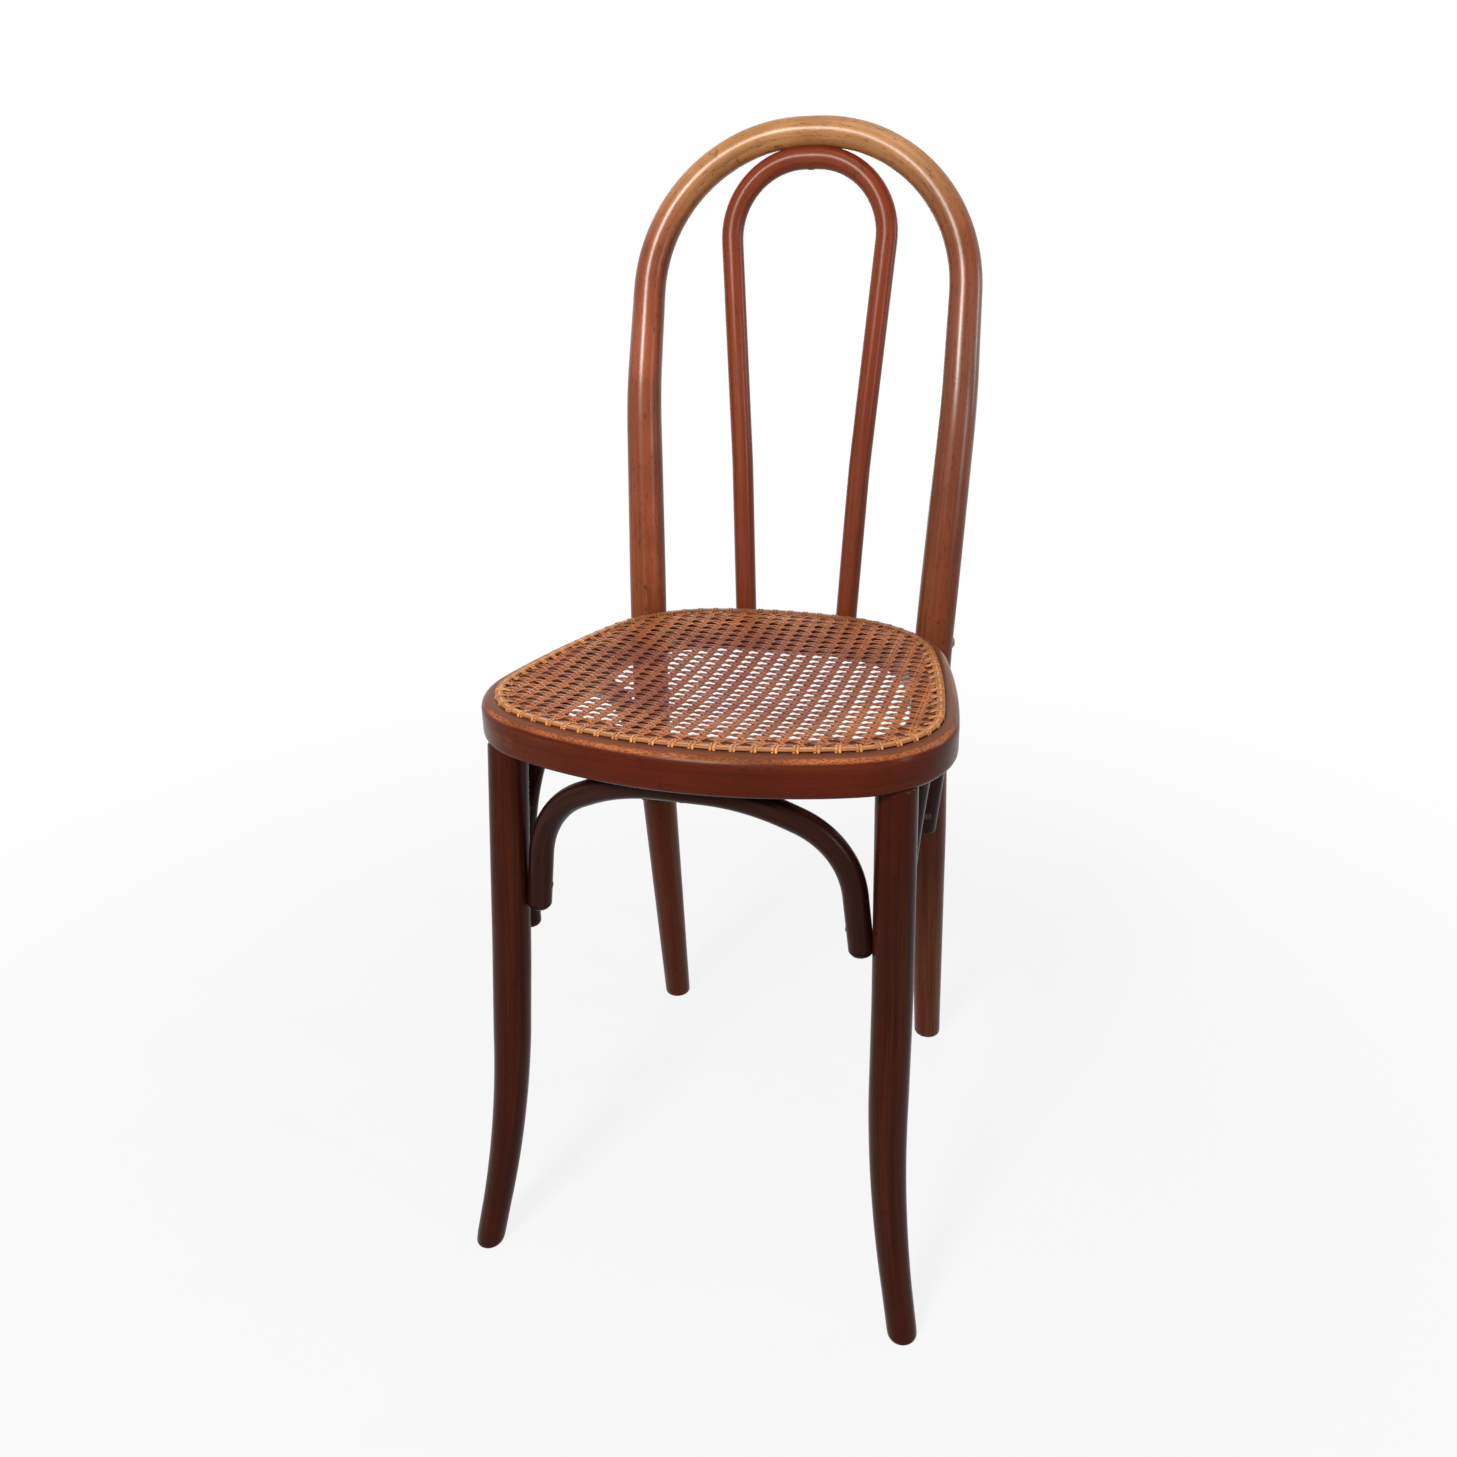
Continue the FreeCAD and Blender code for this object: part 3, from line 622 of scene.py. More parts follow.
def stained_beech(name, stain, dark, light, mottle=0.5, lines=0.3, fleck=0.6, gloss=0.24, shine=0.07,
                  varnish=0.03, seed=0.0, worn=None):
    """Stained and varnished beech. Stain and varnish are values, or functions that give them."""
    finish = material_finish(name)
    grain, place = finish.stored("grain")["Vector"], finish.place()
    streak = finish.noise(grain, (7, 260, 260), 5, 0.62, (seed, 0, 0)).between(0.30, 0.70)
    broad = finish.noise(grain, (3.2, 52, 52), 3, 0.55, (seed + 7, 0, 0), 0.6).between(0.32, 0.68)
    cloud = finish.noise(place, (11, 11, 11), 4, 0.6, (seed, seed, 0)).between(0.38, 0.66)
    dashes = finish.noise(grain, (130, 950, 950), 2, 0.5, (seed, 3, 0)).between(0.61, 0.71)
    spots = finish.noise(place, (85, 85, 60), 3, 0.6, (seed, 5, 2)).between(0.65, 0.75)
    body = stain(finish, place) if callable(stain) else stain
    for share, tone in ((broad * (0.55 * mottle), dark), (cloud * (0.45 * mottle), dark),
                        ((1 - streak) * lines, dark), (streak * broad * (0.7 * lines), light),
                        (dashes * fleck, dark), (spots * (0.75 * fleck), dark)):
        body = finish.blend(share, body, tone)
    rough = streak * 0.04 + cloud * 0.10 + gloss - 0.02
    coat = varnish(finish, place) * (1 - cloud * 0.4) if callable(varnish) else varnish
    if worn:
        body, rubbed = worn(finish, grain, place, body)
        rough = rough + rubbed * 0.10
    height = streak * 0.35 + dashes * -0.5 + cloud * 0.8
    return finish.close(body, rough, height, 0.00016, 0.20, Coat_Weight=coat, Coat_Roughness=0.27,
                        Specular_IOR_Level=shine, Specular_Tint=(1.0, 0.80, 0.62, 1.0))


def by_height(marks):
    """A colour that changes with height: marks are (height, colour) from low to high."""
    def stain(finish, place):
        height = finish.split(place)[2]
        body = marks[0][1]
        for (low, _), (high, tone) in zip(marks, marks[1:]):
            body = finish.blend(height.between(low, high), body, tone)
        return body
    return stain


def woven_cane(name, gold, brown, dark, rear=0.0):
    """Cane with lengthwise lines and painted shade on its strands' edges and undersides, browner where it is sat
    on. A rear share darkens the back.
    """
    finish = material_finish(name)
    grain, place = finish.stored("grain")["Vector"], finish.place()
    tone = finish.stored("tone")["Fac"]
    lines = finish.noise(grain, (30, 2600, 900), 3, 0.6).between(0.30, 0.70)
    cloud = finish.noise(place, (24, 24, 24), 4, 0.6).between(0.35, 0.68)
    patch = finish.noise(place, (75, 75, 75), 3, 0.6, (3, 1, 0)).between(0.40, 0.66)
    x, y, _ = finish.split(place)
    _, across, above = finish.split(grain)
    sat_on = 1 - finish.distance(x / 0.165, (y + 0.035) / 0.150).between(0.55, 1.02)
    # Painted shade: side marks a strand's edges and under its lower half, where the dark colour stands in for
    # shade.
    side = abs(across).between(0.0005, 0.00105)
    under = 1 - above.between(-0.0001, 0.00022)
    body = finish.blend(sat_on * 0.85 + (cloud - 0.5) * 0.5, gold, brown)
    # Of these shares, side and under are painted shade on the strands' edges and undersides.
    for share in (y.between(0.00, 0.10) * rear, tone * 0.55, (1 - lines) * 0.30, patch * 0.25,
                  side * 0.62, under * 0.60):
        body = finish.blend(share, body, dark)
    rough = lines * 0.08 + cloud * 0.12 + 0.34
    return finish.close(body, rough, lines * 0.6 + patch * 0.4, 0.00012, 0.5, Coat_Weight=0.07,
                        Coat_Roughness=0.25, Specular_IOR_Level=0.18)


def dull_steel(name, steel, dark):
    """Steel that has dulled, with a patchy brown tarnish."""
    finish = material_finish(name)
    place = finish.place()
    cloud = finish.noise(place, (180, 180, 180), 4, 0.6).between(0.35, 0.70)
    scratch = finish.noise(place, (900, 900, 900), 2, 0.5).between(0.3, 0.7)
    body = finish.blend(cloud * 0.7, steel, dark)
    return finish.close(body, cloud * 0.25 + 0.34, scratch * 0.4 + cloud, 0.00008, 0.5, Metallic=0.85)


# The bent pieces: corners of the right side, the radius of each bend and the straight runs between

FRAME_FOOT = mm(139.2, 160.2, 0)
FRAME_SIDE = [mm(136.2, 121.9, 260), mm(135.4, 111.6, 330), mm(133.8, 107.5, 415), mm(137.1, 120.1, 490),
              mm(144.3, 147.9, 654), mm(141.0, 202.1, 874.6)]
FRAME_BENDS = [0, 0.600, 0.450, 0, 0.600]
FRAME_FULL_RUN = 0.231
CROWN_FLAT = 0.010
LOOP_SIDE = [mm(47.7, 143.9, 433), mm(55.1, 163.9, 590), mm(75.2, 202.2, 853.7)]
LOOP_WAIST = 0.700
LEG_SIDE = [mm(173.1, -205.8, 0), mm(153.1, -184.3, 112), mm(151.0, -164.3, 262), mm(147.0, -148.9, 431)]
LEG_BENDS = [0.900, 0.500]
LEG_TAPER = 0.230
FRONT_ARCH_SIDE = [mm(127.1, -158.7, 297), mm(117.0, -158.7, 385), mm(46.0, -174.3, 420.4)]
FRONT_ARCH_BENDS = [0.074, 0.120]
SIDE_ARCH = [mm(146.8, -141.3, 268), mm(153.0, -125.3, 420.4), mm(153.0, 80.6, 420.4), mm(136.6, 96.9, 269)]
SIDE_ARCH_FLAT = 0.016
BRACE_SHADES = (tint(28, 11, 8), tint(104, 58, 40))
BRACE_LOOK = {"mottle": 0.5, "gloss": 0.20, "varnish": 0.06}


def crown_bend(bow, crown, flat):
    """The bend that leaves half of a flat before the chair's centre line."""
    turn = (crown - bow).angle(Vector((-1, 0, 0)))
    return (crown.x - flat / 2) / math.tan(turn / 2)


def both_halves(corners, bends):
    """The corners and bends of one side, carried on to the other."""
    return corners + [flip(place) for place in reversed(corners)], bends + bends[::-1]


def bent_rod(name, corners, bends, diameter, swell, step, foot=0.0, ends=0.0):
    """A round rod, turned to its taper, bent along its corners and softened at its cut ends."""
    path, span = lay_path(name + "_path", *route(corners, bends), swell=swell)
    rod = turned_blank(name, ROD_SIDES, diameter / 2, 0, span)
    with editing(rod):
        ring_up(rod, span, step)
    keep_grain(rod)
    bend_along(rod, path)
    with editing(rod):
        if foot:
            flatten_foot(rod)
            soften_ends(rod, foot, 5)
        if ends:
            soften_ends(rod, ends, 4)
    smooth(rod)
    return rod


def bent_ring(name, inset, low, high, width, step, rounded, weld):
    """A bar between two heights, bent round the seat at an inset and welded where its ends meet."""
    path, span = lay_rim_path(name + "_path", inset, (low + high) / 2)
    ring = bar_blank(name, span, width, high - low, step, rounded, closed=True)
    bend_along(ring, path)
    with editing(ring):
        bpy.ops.mesh.select_all(action="SELECT")
        bpy.ops.mesh.remove_doubles(threshold=weld)
        face_outward()
    smooth(ring, 50)
    return ring


def fit_pair(right, slot, seeds, *stains, **look):
    """Finishes a right-hand piece and its mirrored twin, each with its own figure in the wood."""
    left = mirrored_twin(right, right.name.replace("right", "left"))
    for piece, side, seed in zip((right, left), ("right", "left"), seeds):
        material = stained_beech(slot + "_" + side, *stains, seed=seed, **look)
        fit(piece, material, slot, piece.name.removeprefix("bent_"))


class CHAIR_OT_back_frame(bpy.types.Operator):
    """Bend the one rod that makes both rear legs, both stiles and the hoop"""
    bl_idname = "chair.back_frame"
    bl_label = "Back Frame"

    def execute(self, context):
        sizes, colours = context.scene.chair_sizes, context.scene.chair_finish
        bends = FRAME_BENDS + [crown_bend(FRAME_SIDE[-2], FRAME_SIDE[-1], CROWN_FLAT)]
        corners, bends = both_halves([FRAME_FOOT] + FRAME_SIDE, bends)
        _, segments = route(corners, bends)
        half = sum(segment[0] for segment in segments) / 2
        near_seat = (FRAME_SIDE[0] - FRAME_FOOT).length
        full = sizes.frame_seat
        profile = taper([(0, sizes.frame_foot / full), (near_seat, 1), (near_seat + FRAME_FULL_RUN, 1),
                         (half, sizes.frame_crown / full)])
        rod = bent_rod("bent_back_frame", corners, bends, full,
                       lambda distance: profile(min(distance, 2 * half - distance)), sizes.ring_step,
                       foot=sizes.foot_round)
        # Darker towards the floor: partly the stain, partly painted light on the hoop's top and painted shade
        # low down.
        stain = by_height([(0.0, colours.hoop_low), (0.30, colours.hoop_low), (0.52, colours.hoop_middle),
                           (0.77, colours.hoop_middle), (0.878, colours.hoop_high)])

        def stain_with_painted_light_and_shade(finish, place):
            """Lighter towards the top of the hoop, partly stain and partly painted light, and painted shade on
            the right stile, as if lit from the left.
            """
            x, _, height = finish.split(place)
            # Painted shade: the right stile below the hoop is darkened towards the rear legs' colour.
            right = x.between(0.0, 0.12) * (1 - height.between(0.66, 0.84))
            return finish.blend(right * 0.55, stain(finish, place), colours.hoop_low)

        def handled(finish, place):
            """More polish towards the top, where hands hold the hoop."""
            return finish.split(place)[2].between(0.40, 0.70) * 0.50 + 0.02

        fit(rod, stained_beech("hoop_beech", stain_with_painted_light_and_shade, tint(62, 27, 15), tint(205, 150, 100),
                               mottle=0.75, lines=0.16, fleck=0.95, gloss=0.30, shine=0.10,
                               varnish=handled, seed=1.0), "hoop_beech", "back_frame")
        return {"FINISHED"}


class CHAIR_OT_inner_loop(bpy.types.Operator):
    """Bend the thinner loop that stands inside the hoop"""
    bl_idname = "chair.inner_loop"
    bl_label = "Inner Loop"

    def execute(self, context):
        sizes, colours = context.scene.chair_sizes, context.scene.chair_finish
        bends = [LOOP_WAIST, crown_bend(LOOP_SIDE[1], LOOP_SIDE[2], CROWN_FLAT)]
        rod = bent_rod("bent_inner_loop", *both_halves(LOOP_SIDE, bends), sizes.loop_rod, None,
                       sizes.ring_step * 0.75, ends=0.001)
        stain = by_height([(0.45, colours.loop_low), (0.75, colours.loop_stain)])
        fit(rod, stained_beech("loop_beech", stain, tint(70, 30, 18), tint(196, 128, 90),
                               mottle=0.6, lines=0.18, shine=0.12, varnish=0.12, seed=4.0),
            "loop_beech", "inner_loop")
        return {"FINISHED"}


class CHAIR_OT_front_legs(bpy.types.Operator):
    """Bend and taper the two front legs"""
    bl_idname = "chair.front_legs"
    bl_label = "Front Legs"

    def execute(self, context):
        sizes, colours = context.scene.chair_sizes, context.scene.chair_finish
        profile = taper([(0, sizes.leg_foot / sizes.leg_rod), (LEG_TAPER, 1)])
        right = bent_rod("bent_front_leg_right", LEG_SIDE, LEG_BENDS, sizes.leg_rod, profile,
                         sizes.ring_step, foot=sizes.foot_round)
        fit_pair(right, "leg_beech", (11.0, 17.0), colours.leg_stain, tint(32, 12, 8), tint(120, 60, 38),
                 mottle=0.8, lines=0.26)
        return {"FINISHED"}


class CHAIR_OT_front_arch(bpy.types.Operator):
    """Bend the brace between the front legs"""
    bl_idname = "chair.front_arch"
    bl_label = "Front Arch"

    def execute(self, context):
        sizes, colours = context.scene.chair_sizes, context.scene.chair_finish
        rod = bent_rod("bent_front_arch", *both_halves(FRONT_ARCH_SIDE, FRONT_ARCH_BENDS), sizes.brace_rod,
                       None, sizes.ring_step * 0.6, ends=0.0060)
        fit(rod, stained_beech("brace_beech_front", colours.brace_stain, *BRACE_SHADES, seed=23.0,
                               **BRACE_LOOK), "brace_beech", "front_arch")
        return {"FINISHED"}


class CHAIR_OT_side_arches(bpy.types.Operator):
    """Bend the braces between each front leg and the rear leg behind it"""
    bl_idname = "chair.side_arches"
    bl_label = "Side Arches"

    def execute(self, context):
        sizes, colours = context.scene.chair_sizes, context.scene.chair_finish
        front_foot, front, rear, rear_foot = SIDE_ARCH
        reach = ((rear - front).length - SIDE_ARCH_FLAT) / 2
        turns = [(front - front_foot).angle(rear - front), (rear_foot - rear).angle(rear - front)]
        right = bent_rod("bent_side_arch_right", SIDE_ARCH, [reach / math.tan(turn / 2) for turn in turns],
                         sizes.brace_rod, None, sizes.ring_step * 0.6, ends=0.0035)
        fit_pair(right, "brace_beech", (29.0, 31.0), colours.brace_stain, *BRACE_SHADES, **BRACE_LOOK)
        return {"FINISHED"}


class CHAIR_OT_seat_rim(bpy.types.Operator):
    """Bend the seat rim from a bar with rounded edges"""
    bl_idname = "chair.seat_rim"
    bl_label = "Seat Rim"

    def execute(self, context):
        sizes, colours = context.scene.chair_sizes, context.scene.chair_finish
        rim = bent_ring("bent_seat_rim", sizes.rim_width / 2, RIM_BASE, RIM_TOP, sizes.rim_width,
                        RIM_STEP, RIM_ROUNDING, RIM_WELD)

        def scuffed(finish, grain, place, body):
            """Bare wood where hands and knees have rubbed the upper outer edge, and a dulled top."""
            _, across, above = finish.split(grain)
            body = finish.blend(above.between(0.0133, 0.0148) * 0.75, body, colours.rim_top)
            edge = above.between(0.0106, 0.0126) * (1 - above.between(0.0134, 0.0147))
            edge = edge * (1 - across.between(-0.0100, -0.0080))
            rub = finish.noise(grain, (420, 1100, 1100), 4, 0.65, (2, 0, 0)).between(0.36, 0.62)
            reach = finish.noise(place, (16, 16, 16), 2, 0.5, (4, 0, 0)).between(0.34, 0.62)
            share = edge * (rub * 0.8 + 0.2) * (reach * 0.7 + 0.3) * 0.90
            return finish.blend(share, body, colours.rim_worn), share

        fit(rim, stained_beech("rim_beech", colours.rim_stain, tint(44, 18, 11), tint(140, 76, 48),
                               mottle=0.6, varnish=0.04, seed=37.0, worn=scuffed), "rim_beech", "seat_ring")
        return {"FINISHED"}


# The woven panel: uprights and crosswise strands lie in pairs, a gap off each line of the grid

STRAND_EDGE = 0.00028
PANEL_LIFT = 1.7
REAR_ROW = 0.1184
COLUMN_GAP, ROW_GAP = 0.00138, 0.00115
COLUMNS_EACH_SIDE = 13
ROWS_DOWN = 32
CROSSWISE_ROWS = range(-1, 29)
SLANT_CELLS = 33
SLANT_STARTS = range(-48, 49)
PANEL_REACH = 0.17
TRIM_PAST_HOLES = 0.0012
SAG_STARTS_IN = 0.002
SAG_POWER = 1.15


def weave(strand, step, lifts):
    """Lifts the rings of a strand over and under in turn: lifts repeats along its length."""
    with editing(strand):
        for lift in sorted(set(lifts)):
            if lift:
                pick(strand, "VERT", lambda vert: lifts[round(vert.co.x / step) % len(lifts)] == lift)
                bpy.ops.transform.translate(value=(0, 0, lift))


class CHAIR_OT_cane_panel(bpy.types.Operator):
    """Weave the seat panel: uprights, crosswise strands and both slants"""
    bl_idname = "chair.cane_panel"
    bl_label = "Cane Panel"

    def execute(self, context):
        sizes, colours = context.scene.chair_sizes, context.scene.chair_finish
        chance = random.Random(7)
        thick = sizes.strand_thickness
        level = RIM_TOP + PANEL_LIFT * thick
        column, row = sizes.column_pitch, sizes.row_pitch
        low, high = -thick / 2, thick / 2
        rear = REAR_ROW + 2 * row
        layers = []

        def lay(name, count, cell, lifts, along, starts):
            """One layer of strands, each as long as a count of cells, from every start."""
            step = cell / len(lifts)
            strand = bar_blank(name, count * cell, sizes.strand_width, thick, step,
                               both_edges(1, STRAND_EDGE))
            weave(strand, step, lifts)
            copies(strand, [(Vector((*start, level)), Vector(along), 0) for start in starts], chance)
            layers.append(strand)

        for name, side, lifts in (("cane_uprights_first", -1, [0, high, 0, low]),
                                  ("cane_uprights_second", 1, [0, low, 0, high])):
            lay(name, ROWS_DOWN, row, lifts, (0, -1, 0),
                [(k * column + side * COLUMN_GAP, rear)
                 for k in range(-COLUMNS_EACH_SIDE, COLUMNS_EACH_SIDE + 1)])
        for name, side, lifts in (("cane_crosswise_first", 1, [0, low, 0, high]),
                                  ("cane_crosswise_second", -1, [0, high, 0, low])):
            lay(name, 2 * COLUMNS_EACH_SIDE, column, lifts, (1, 0, 0),
                [(-COLUMNS_EACH_SIDE * column, REAR_ROW - k * row + side * ROW_GAP) for k in CROSSWISE_ROWS])
        for name, slope, over in (("cane_slants_right", 1, thick), ("cane_slants_left", -1, -thick)):
            starts = [(k * column, rear - row / 2) for k in SLANT_STARTS
                      if any(abs(k * column + slope * depth * column / row) < PANEL_REACH
                             for depth in (0, 0.15, 0.30))]
            lay(name, SLANT_CELLS, math.hypot(column, row), [over, over, 0, -over, -over, -over, 0, over],
                (slope * column, -row, 0), starts)

        trim = rim_reaches(sizes.hole_inset - TRIM_PAST_HOLES)
        edge = rim_reaches(sizes.rim_width - SAG_STARTS_IN)
        # The third colour darkens the cane's grain and patches, and is also painted shade on the strands' edges
        # and undersides.
        material = woven_cane("cane", colours.cane_gold, colours.cane_brown, tint(84, 38, 22))
        for layer in layers:
            with editing(layer):
                pick(layer, "VERT", lambda vert: rim_share(trim, vert.co) > 1)
                bpy.ops.mesh.delete(type="VERT")
                bpy.ops.mesh.select_all(action="SELECT")
                bpy.ops.mesh.fill_holes(sides=8)
            hollow = layer.vertex_groups.new(name="hollow")
            for vert in layer.data.vertices:
                share = rim_share(edge, vert.co)
                if share < 1:
                    hollow.add([vert.index], (1 - share ** 2) ** SAG_POWER, "REPLACE")
            sink = layer.modifiers.new("Sag", "DISPLACE")
            sink.direction = "Z"
            sink.mid_level = 0.0
            sink.strength = -sizes.panel_sag
            sink.vertex_group = hollow.name
            take(layer)
            bpy.ops.object.modifier_apply(modifier=sink.name)
            smooth(layer, 60)
            fit(layer, material, "cane", "cane_web")
        return {"FINISHED"}


# The binder, and the fine cane that ties it down: each ring of a tie drops by its own amount

BINDER_WIDTH = 0.0064
BINDER_STEP, BINDER_WELD = 0.0035, 0.00008
BINDER_EDGE = 0.0009
BINDER_TONE = 0.1
FINE_CANE, FINE_EDGE = 0.00045, 0.0002
TIE_WIDTH = 0.0019
TIE_STEP = 0.0008
TIE_SPAN = 14 * TIE_STEP
TIE_INNER = 0.0076
TIE_DROPS = {0: 0.00140, 1: 0.00130, 2: 0.00115, 3: 0.00085, 4: 0.00045, 5: 0.00012, 13: 0.00010, 14: 0.00220}
TIE_RISE = 0.00020
TIE_BESIDE = 0.00125
TIE_LENGTHWISE = 0.7
TIE_STRAY, LINK_STRAY = 0.12, 0.06
LINK_STEP = 0.0019
LINK_WIDTH = 0.0023
LINK_OVERHANG = 0.0016
LINK_STRAIGHT = 0.82
LINK_RISE = 0.0010
LINK_BELOW = 0.00015


def stray(along, chance, most):
    """A direction, turned a little to either side."""
    return Matrix.Rotation(chance.uniform(-most, most), 3, "Z") @ along


class CHAIR_OT_binder(bpy.types.Operator):
    """Lay the binder over the holes, tie it down and draw the strands from hole to hole underneath"""
    bl_idname = "chair.binder"
    bl_label = "Binder and Ties"

    def execute(self, context):
        sizes = context.scene.chair_sizes
        chance = random.Random(3)
        # The third colour also paints shade on the edges and undersides of the binder, the ties and the links.
        material = woven_cane("binder_cane", tint(236, 160, 92), tint(226, 148, 84), tint(110, 58, 30),
                              rear=0.75)
        low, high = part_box("cane_binder")
        binder = bent_ring("cane_binder_strip", sizes.hole_inset, low.z, high.z, BINDER_WIDTH,
                           BINDER_STEP, both_edges(1, BINDER_EDGE, 3), BINDER_WELD)
        give_tone(binder, BINDER_TONE)
        fit(binder, material, "cane", "cane_binder")

        total = rim_length(sizes.hole_inset)
        count = round(total / sizes.hole_pitch)
        tie = bar_blank("cane_ties", TIE_SPAN, TIE_WIDTH, FINE_CANE, TIE_STEP, both_edges(1, FINE_EDGE))
        with editing(tie):
            for ring, drop in TIE_DROPS.items():
                pick(tie, "VERT", lambda vert: abs(vert.co.x - ring * TIE_STEP) < TIE_STEP / 2)
                bpy.ops.transform.translate(value=(0, 0, -drop))
            bpy.ops.mesh.select_all(action="SELECT")
            bpy.ops.transform.translate(value=(-TIE_INNER, 0, 0))
        spots = []
        for place, out in rim_walk(sizes.hole_inset, high.z + TIE_RISE, 0.5, count):
            along = stray((out + Vector((0, out.y * TIE_LENGTHWISE, 0))).normalized(), chance, TIE_STRAY)
            beside = UP.cross(along) * TIE_BESIDE
            spots += [(place - beside, along, 0), (place + beside, along, 0)]
        copies(tie, spots, chance)
        smooth(tie, 60)
        fit(tie, material, "cane", "cane_binder_loops")

        span = total / count + LINK_OVERHANG
        link = bar_blank("cane_underside", span, LINK_WIDTH, FINE_CANE, LINK_STEP, both_edges(-1, FINE_EDGE))
        with editing(link):
            bpy.ops.mesh.select_all(action="SELECT")
            bpy.ops.transform.translate(value=(-span / 2, 0, 0))
            pick(link, "VERT", lambda vert: abs(vert.co.x) > span / 2 * LINK_STRAIGHT)
            bpy.ops.transform.translate(value=(0, 0, LINK_RISE))
        walk = rim_walk(sizes.hole_inset, RIM_BASE - LINK_BELOW, 0.5 + 0.5 / count, count)
        copies(link, [(place, stray(UP.cross(out), chance, LINK_STRAY), 0) for place, out in walk], chance)
        smooth(link, 60)
        fit(link, material, "cane")
        return {"FINISHED"}


# Fasteners: (head seat, direction) on the right side; both_sides repeats those off the centre line

SCREWS = {
    "front_arch_foot_screws": (mm(115.8, -158.5, 318), Vector((1, -0.021, 0))),
    "side_arch_front_screws": (mm(147.0, -129.6, 295), Vector((0.099, -0.995, 0))),
    "side_arch_rear_screws": (mm(140.3, 85.6, 289), Vector((-0.136, 0.991, 0))),
    "front_arch_crown_screw": (mm(0, -174.3, 411.6), UP),
    "side_arch_crown_screws": (mm(153.0, -22.3, 411.6), UP),
    "loop_foot_screws": (mm(49.6, 154.4, 445), Vector((-0.151, -0.988, 0))),
    "loop_top_screw": (mm(0, 202.2, 844.6), UP),
    "leg_tenon_screws": (mm(132.9, -135.3, 440), Vector((0.719, -0.695, 0))),
}
BOLT_HEAD = mm(147.2, 125.1, 445)
NUT_SEAT = mm(98.5, 74.3, 445)
WASHER_SEAT = mm(99.4, 75.3, 445)
BOLT_PAST_NUT = 0.0070
DOME_SHARE = 0.72
SLOT_DEPTH_SHARE, SLOT_LENGTH_SHARE = 0.9, 1.2
SEAT_LIFT = 0.0004
WASHER_RADIUS, WASHER_THICK, WASHER_WALL, WASHER_EDGE = 0.0075, 0.0014, 0.0042, 0.0003
NUT_HALF, NUT_THICK, NUT_INSET, NUT_EDGE = 0.005, 0.005, 0.0014, 0.0005
NUT_OUTLINE = 0.0046


def both_sides(place, along):
    """A spot and, where it isn't on the centre line, its twin on the other side."""
    if abs(place.x) <= 0.001:
        return [(place, along, 0)]
    return [(place, along, 0), (flip(place), flip(along), 0)]


def domed_head(name, diameter, height, shank, span, slot):
    """A domed head with a slot and a short shank, seated at zero and driven along X."""
    head = turned_blank(name, 28, diameter / 2, -height, height)
    with editing(head):
        pick(head, "EDGE", lambda edge: abs(middle(edge).x + height) < 1e-6 and not along_x(edge))
        bpy.ops.mesh.bevel(offset=height * DOME_SHARE, segments=4, affect="EDGES")
        pick(head, "FACE", lambda face: face.normal.x > 0.99 and is_end(face))
        bpy.ops.mesh.inset(thickness=(diameter - shank) / 2)
        bpy.ops.mesh.extrude_region_move(TRANSFORM_OT_translate={"value": (span, 0, 0)})
    cutter = squared_blank("slot_cutter", -height,
                           (height * SLOT_DEPTH_SHARE, diameter * SLOT_LENGTH_SHARE, slot))
    take(head)
    cut = head.modifiers.new("Slot", "BOOLEAN")
    cut.object = cutter
    cut.operation = "DIFFERENCE"
    cut.solver = "EXACT"
    bpy.ops.object.modifier_apply(modifier=cut.name)
    bpy.data.objects.remove(cutter)
    return head


def set_fasteners(piece, spots, angle, material, slot, node):
    """Copies a fastener to its spots and finishes it."""
    copies(piece, spots)
    smooth(piece, angle)
    fit(piece, material, slot, node)


class CHAIR_OT_screws(bpy.types.Operator):
    """Turn one slotted wood screw and set a copy in every screw hole"""
    bl_idname = "chair.screws"
    bl_label = "Screws"

    def execute(self, context):
        chance = random.Random(11)
        material = dull_steel("screw_steel", tint(84, 66, 54), tint(46, 30, 23))
        for node, spot in SCREWS.items():
            screw = domed_head("slotted_" + node, diameter=0.0064, height=0.0008, shank=0.0040, span=0.0120,
                               slot=0.0010)
            spots = [(place, along, chance.uniform(0, math.pi)) for place, along, _ in both_sides(*spot)]
            set_fasteners(screw, spots, 45, material, "screw_steel", node)
        return {"FINISHED"}


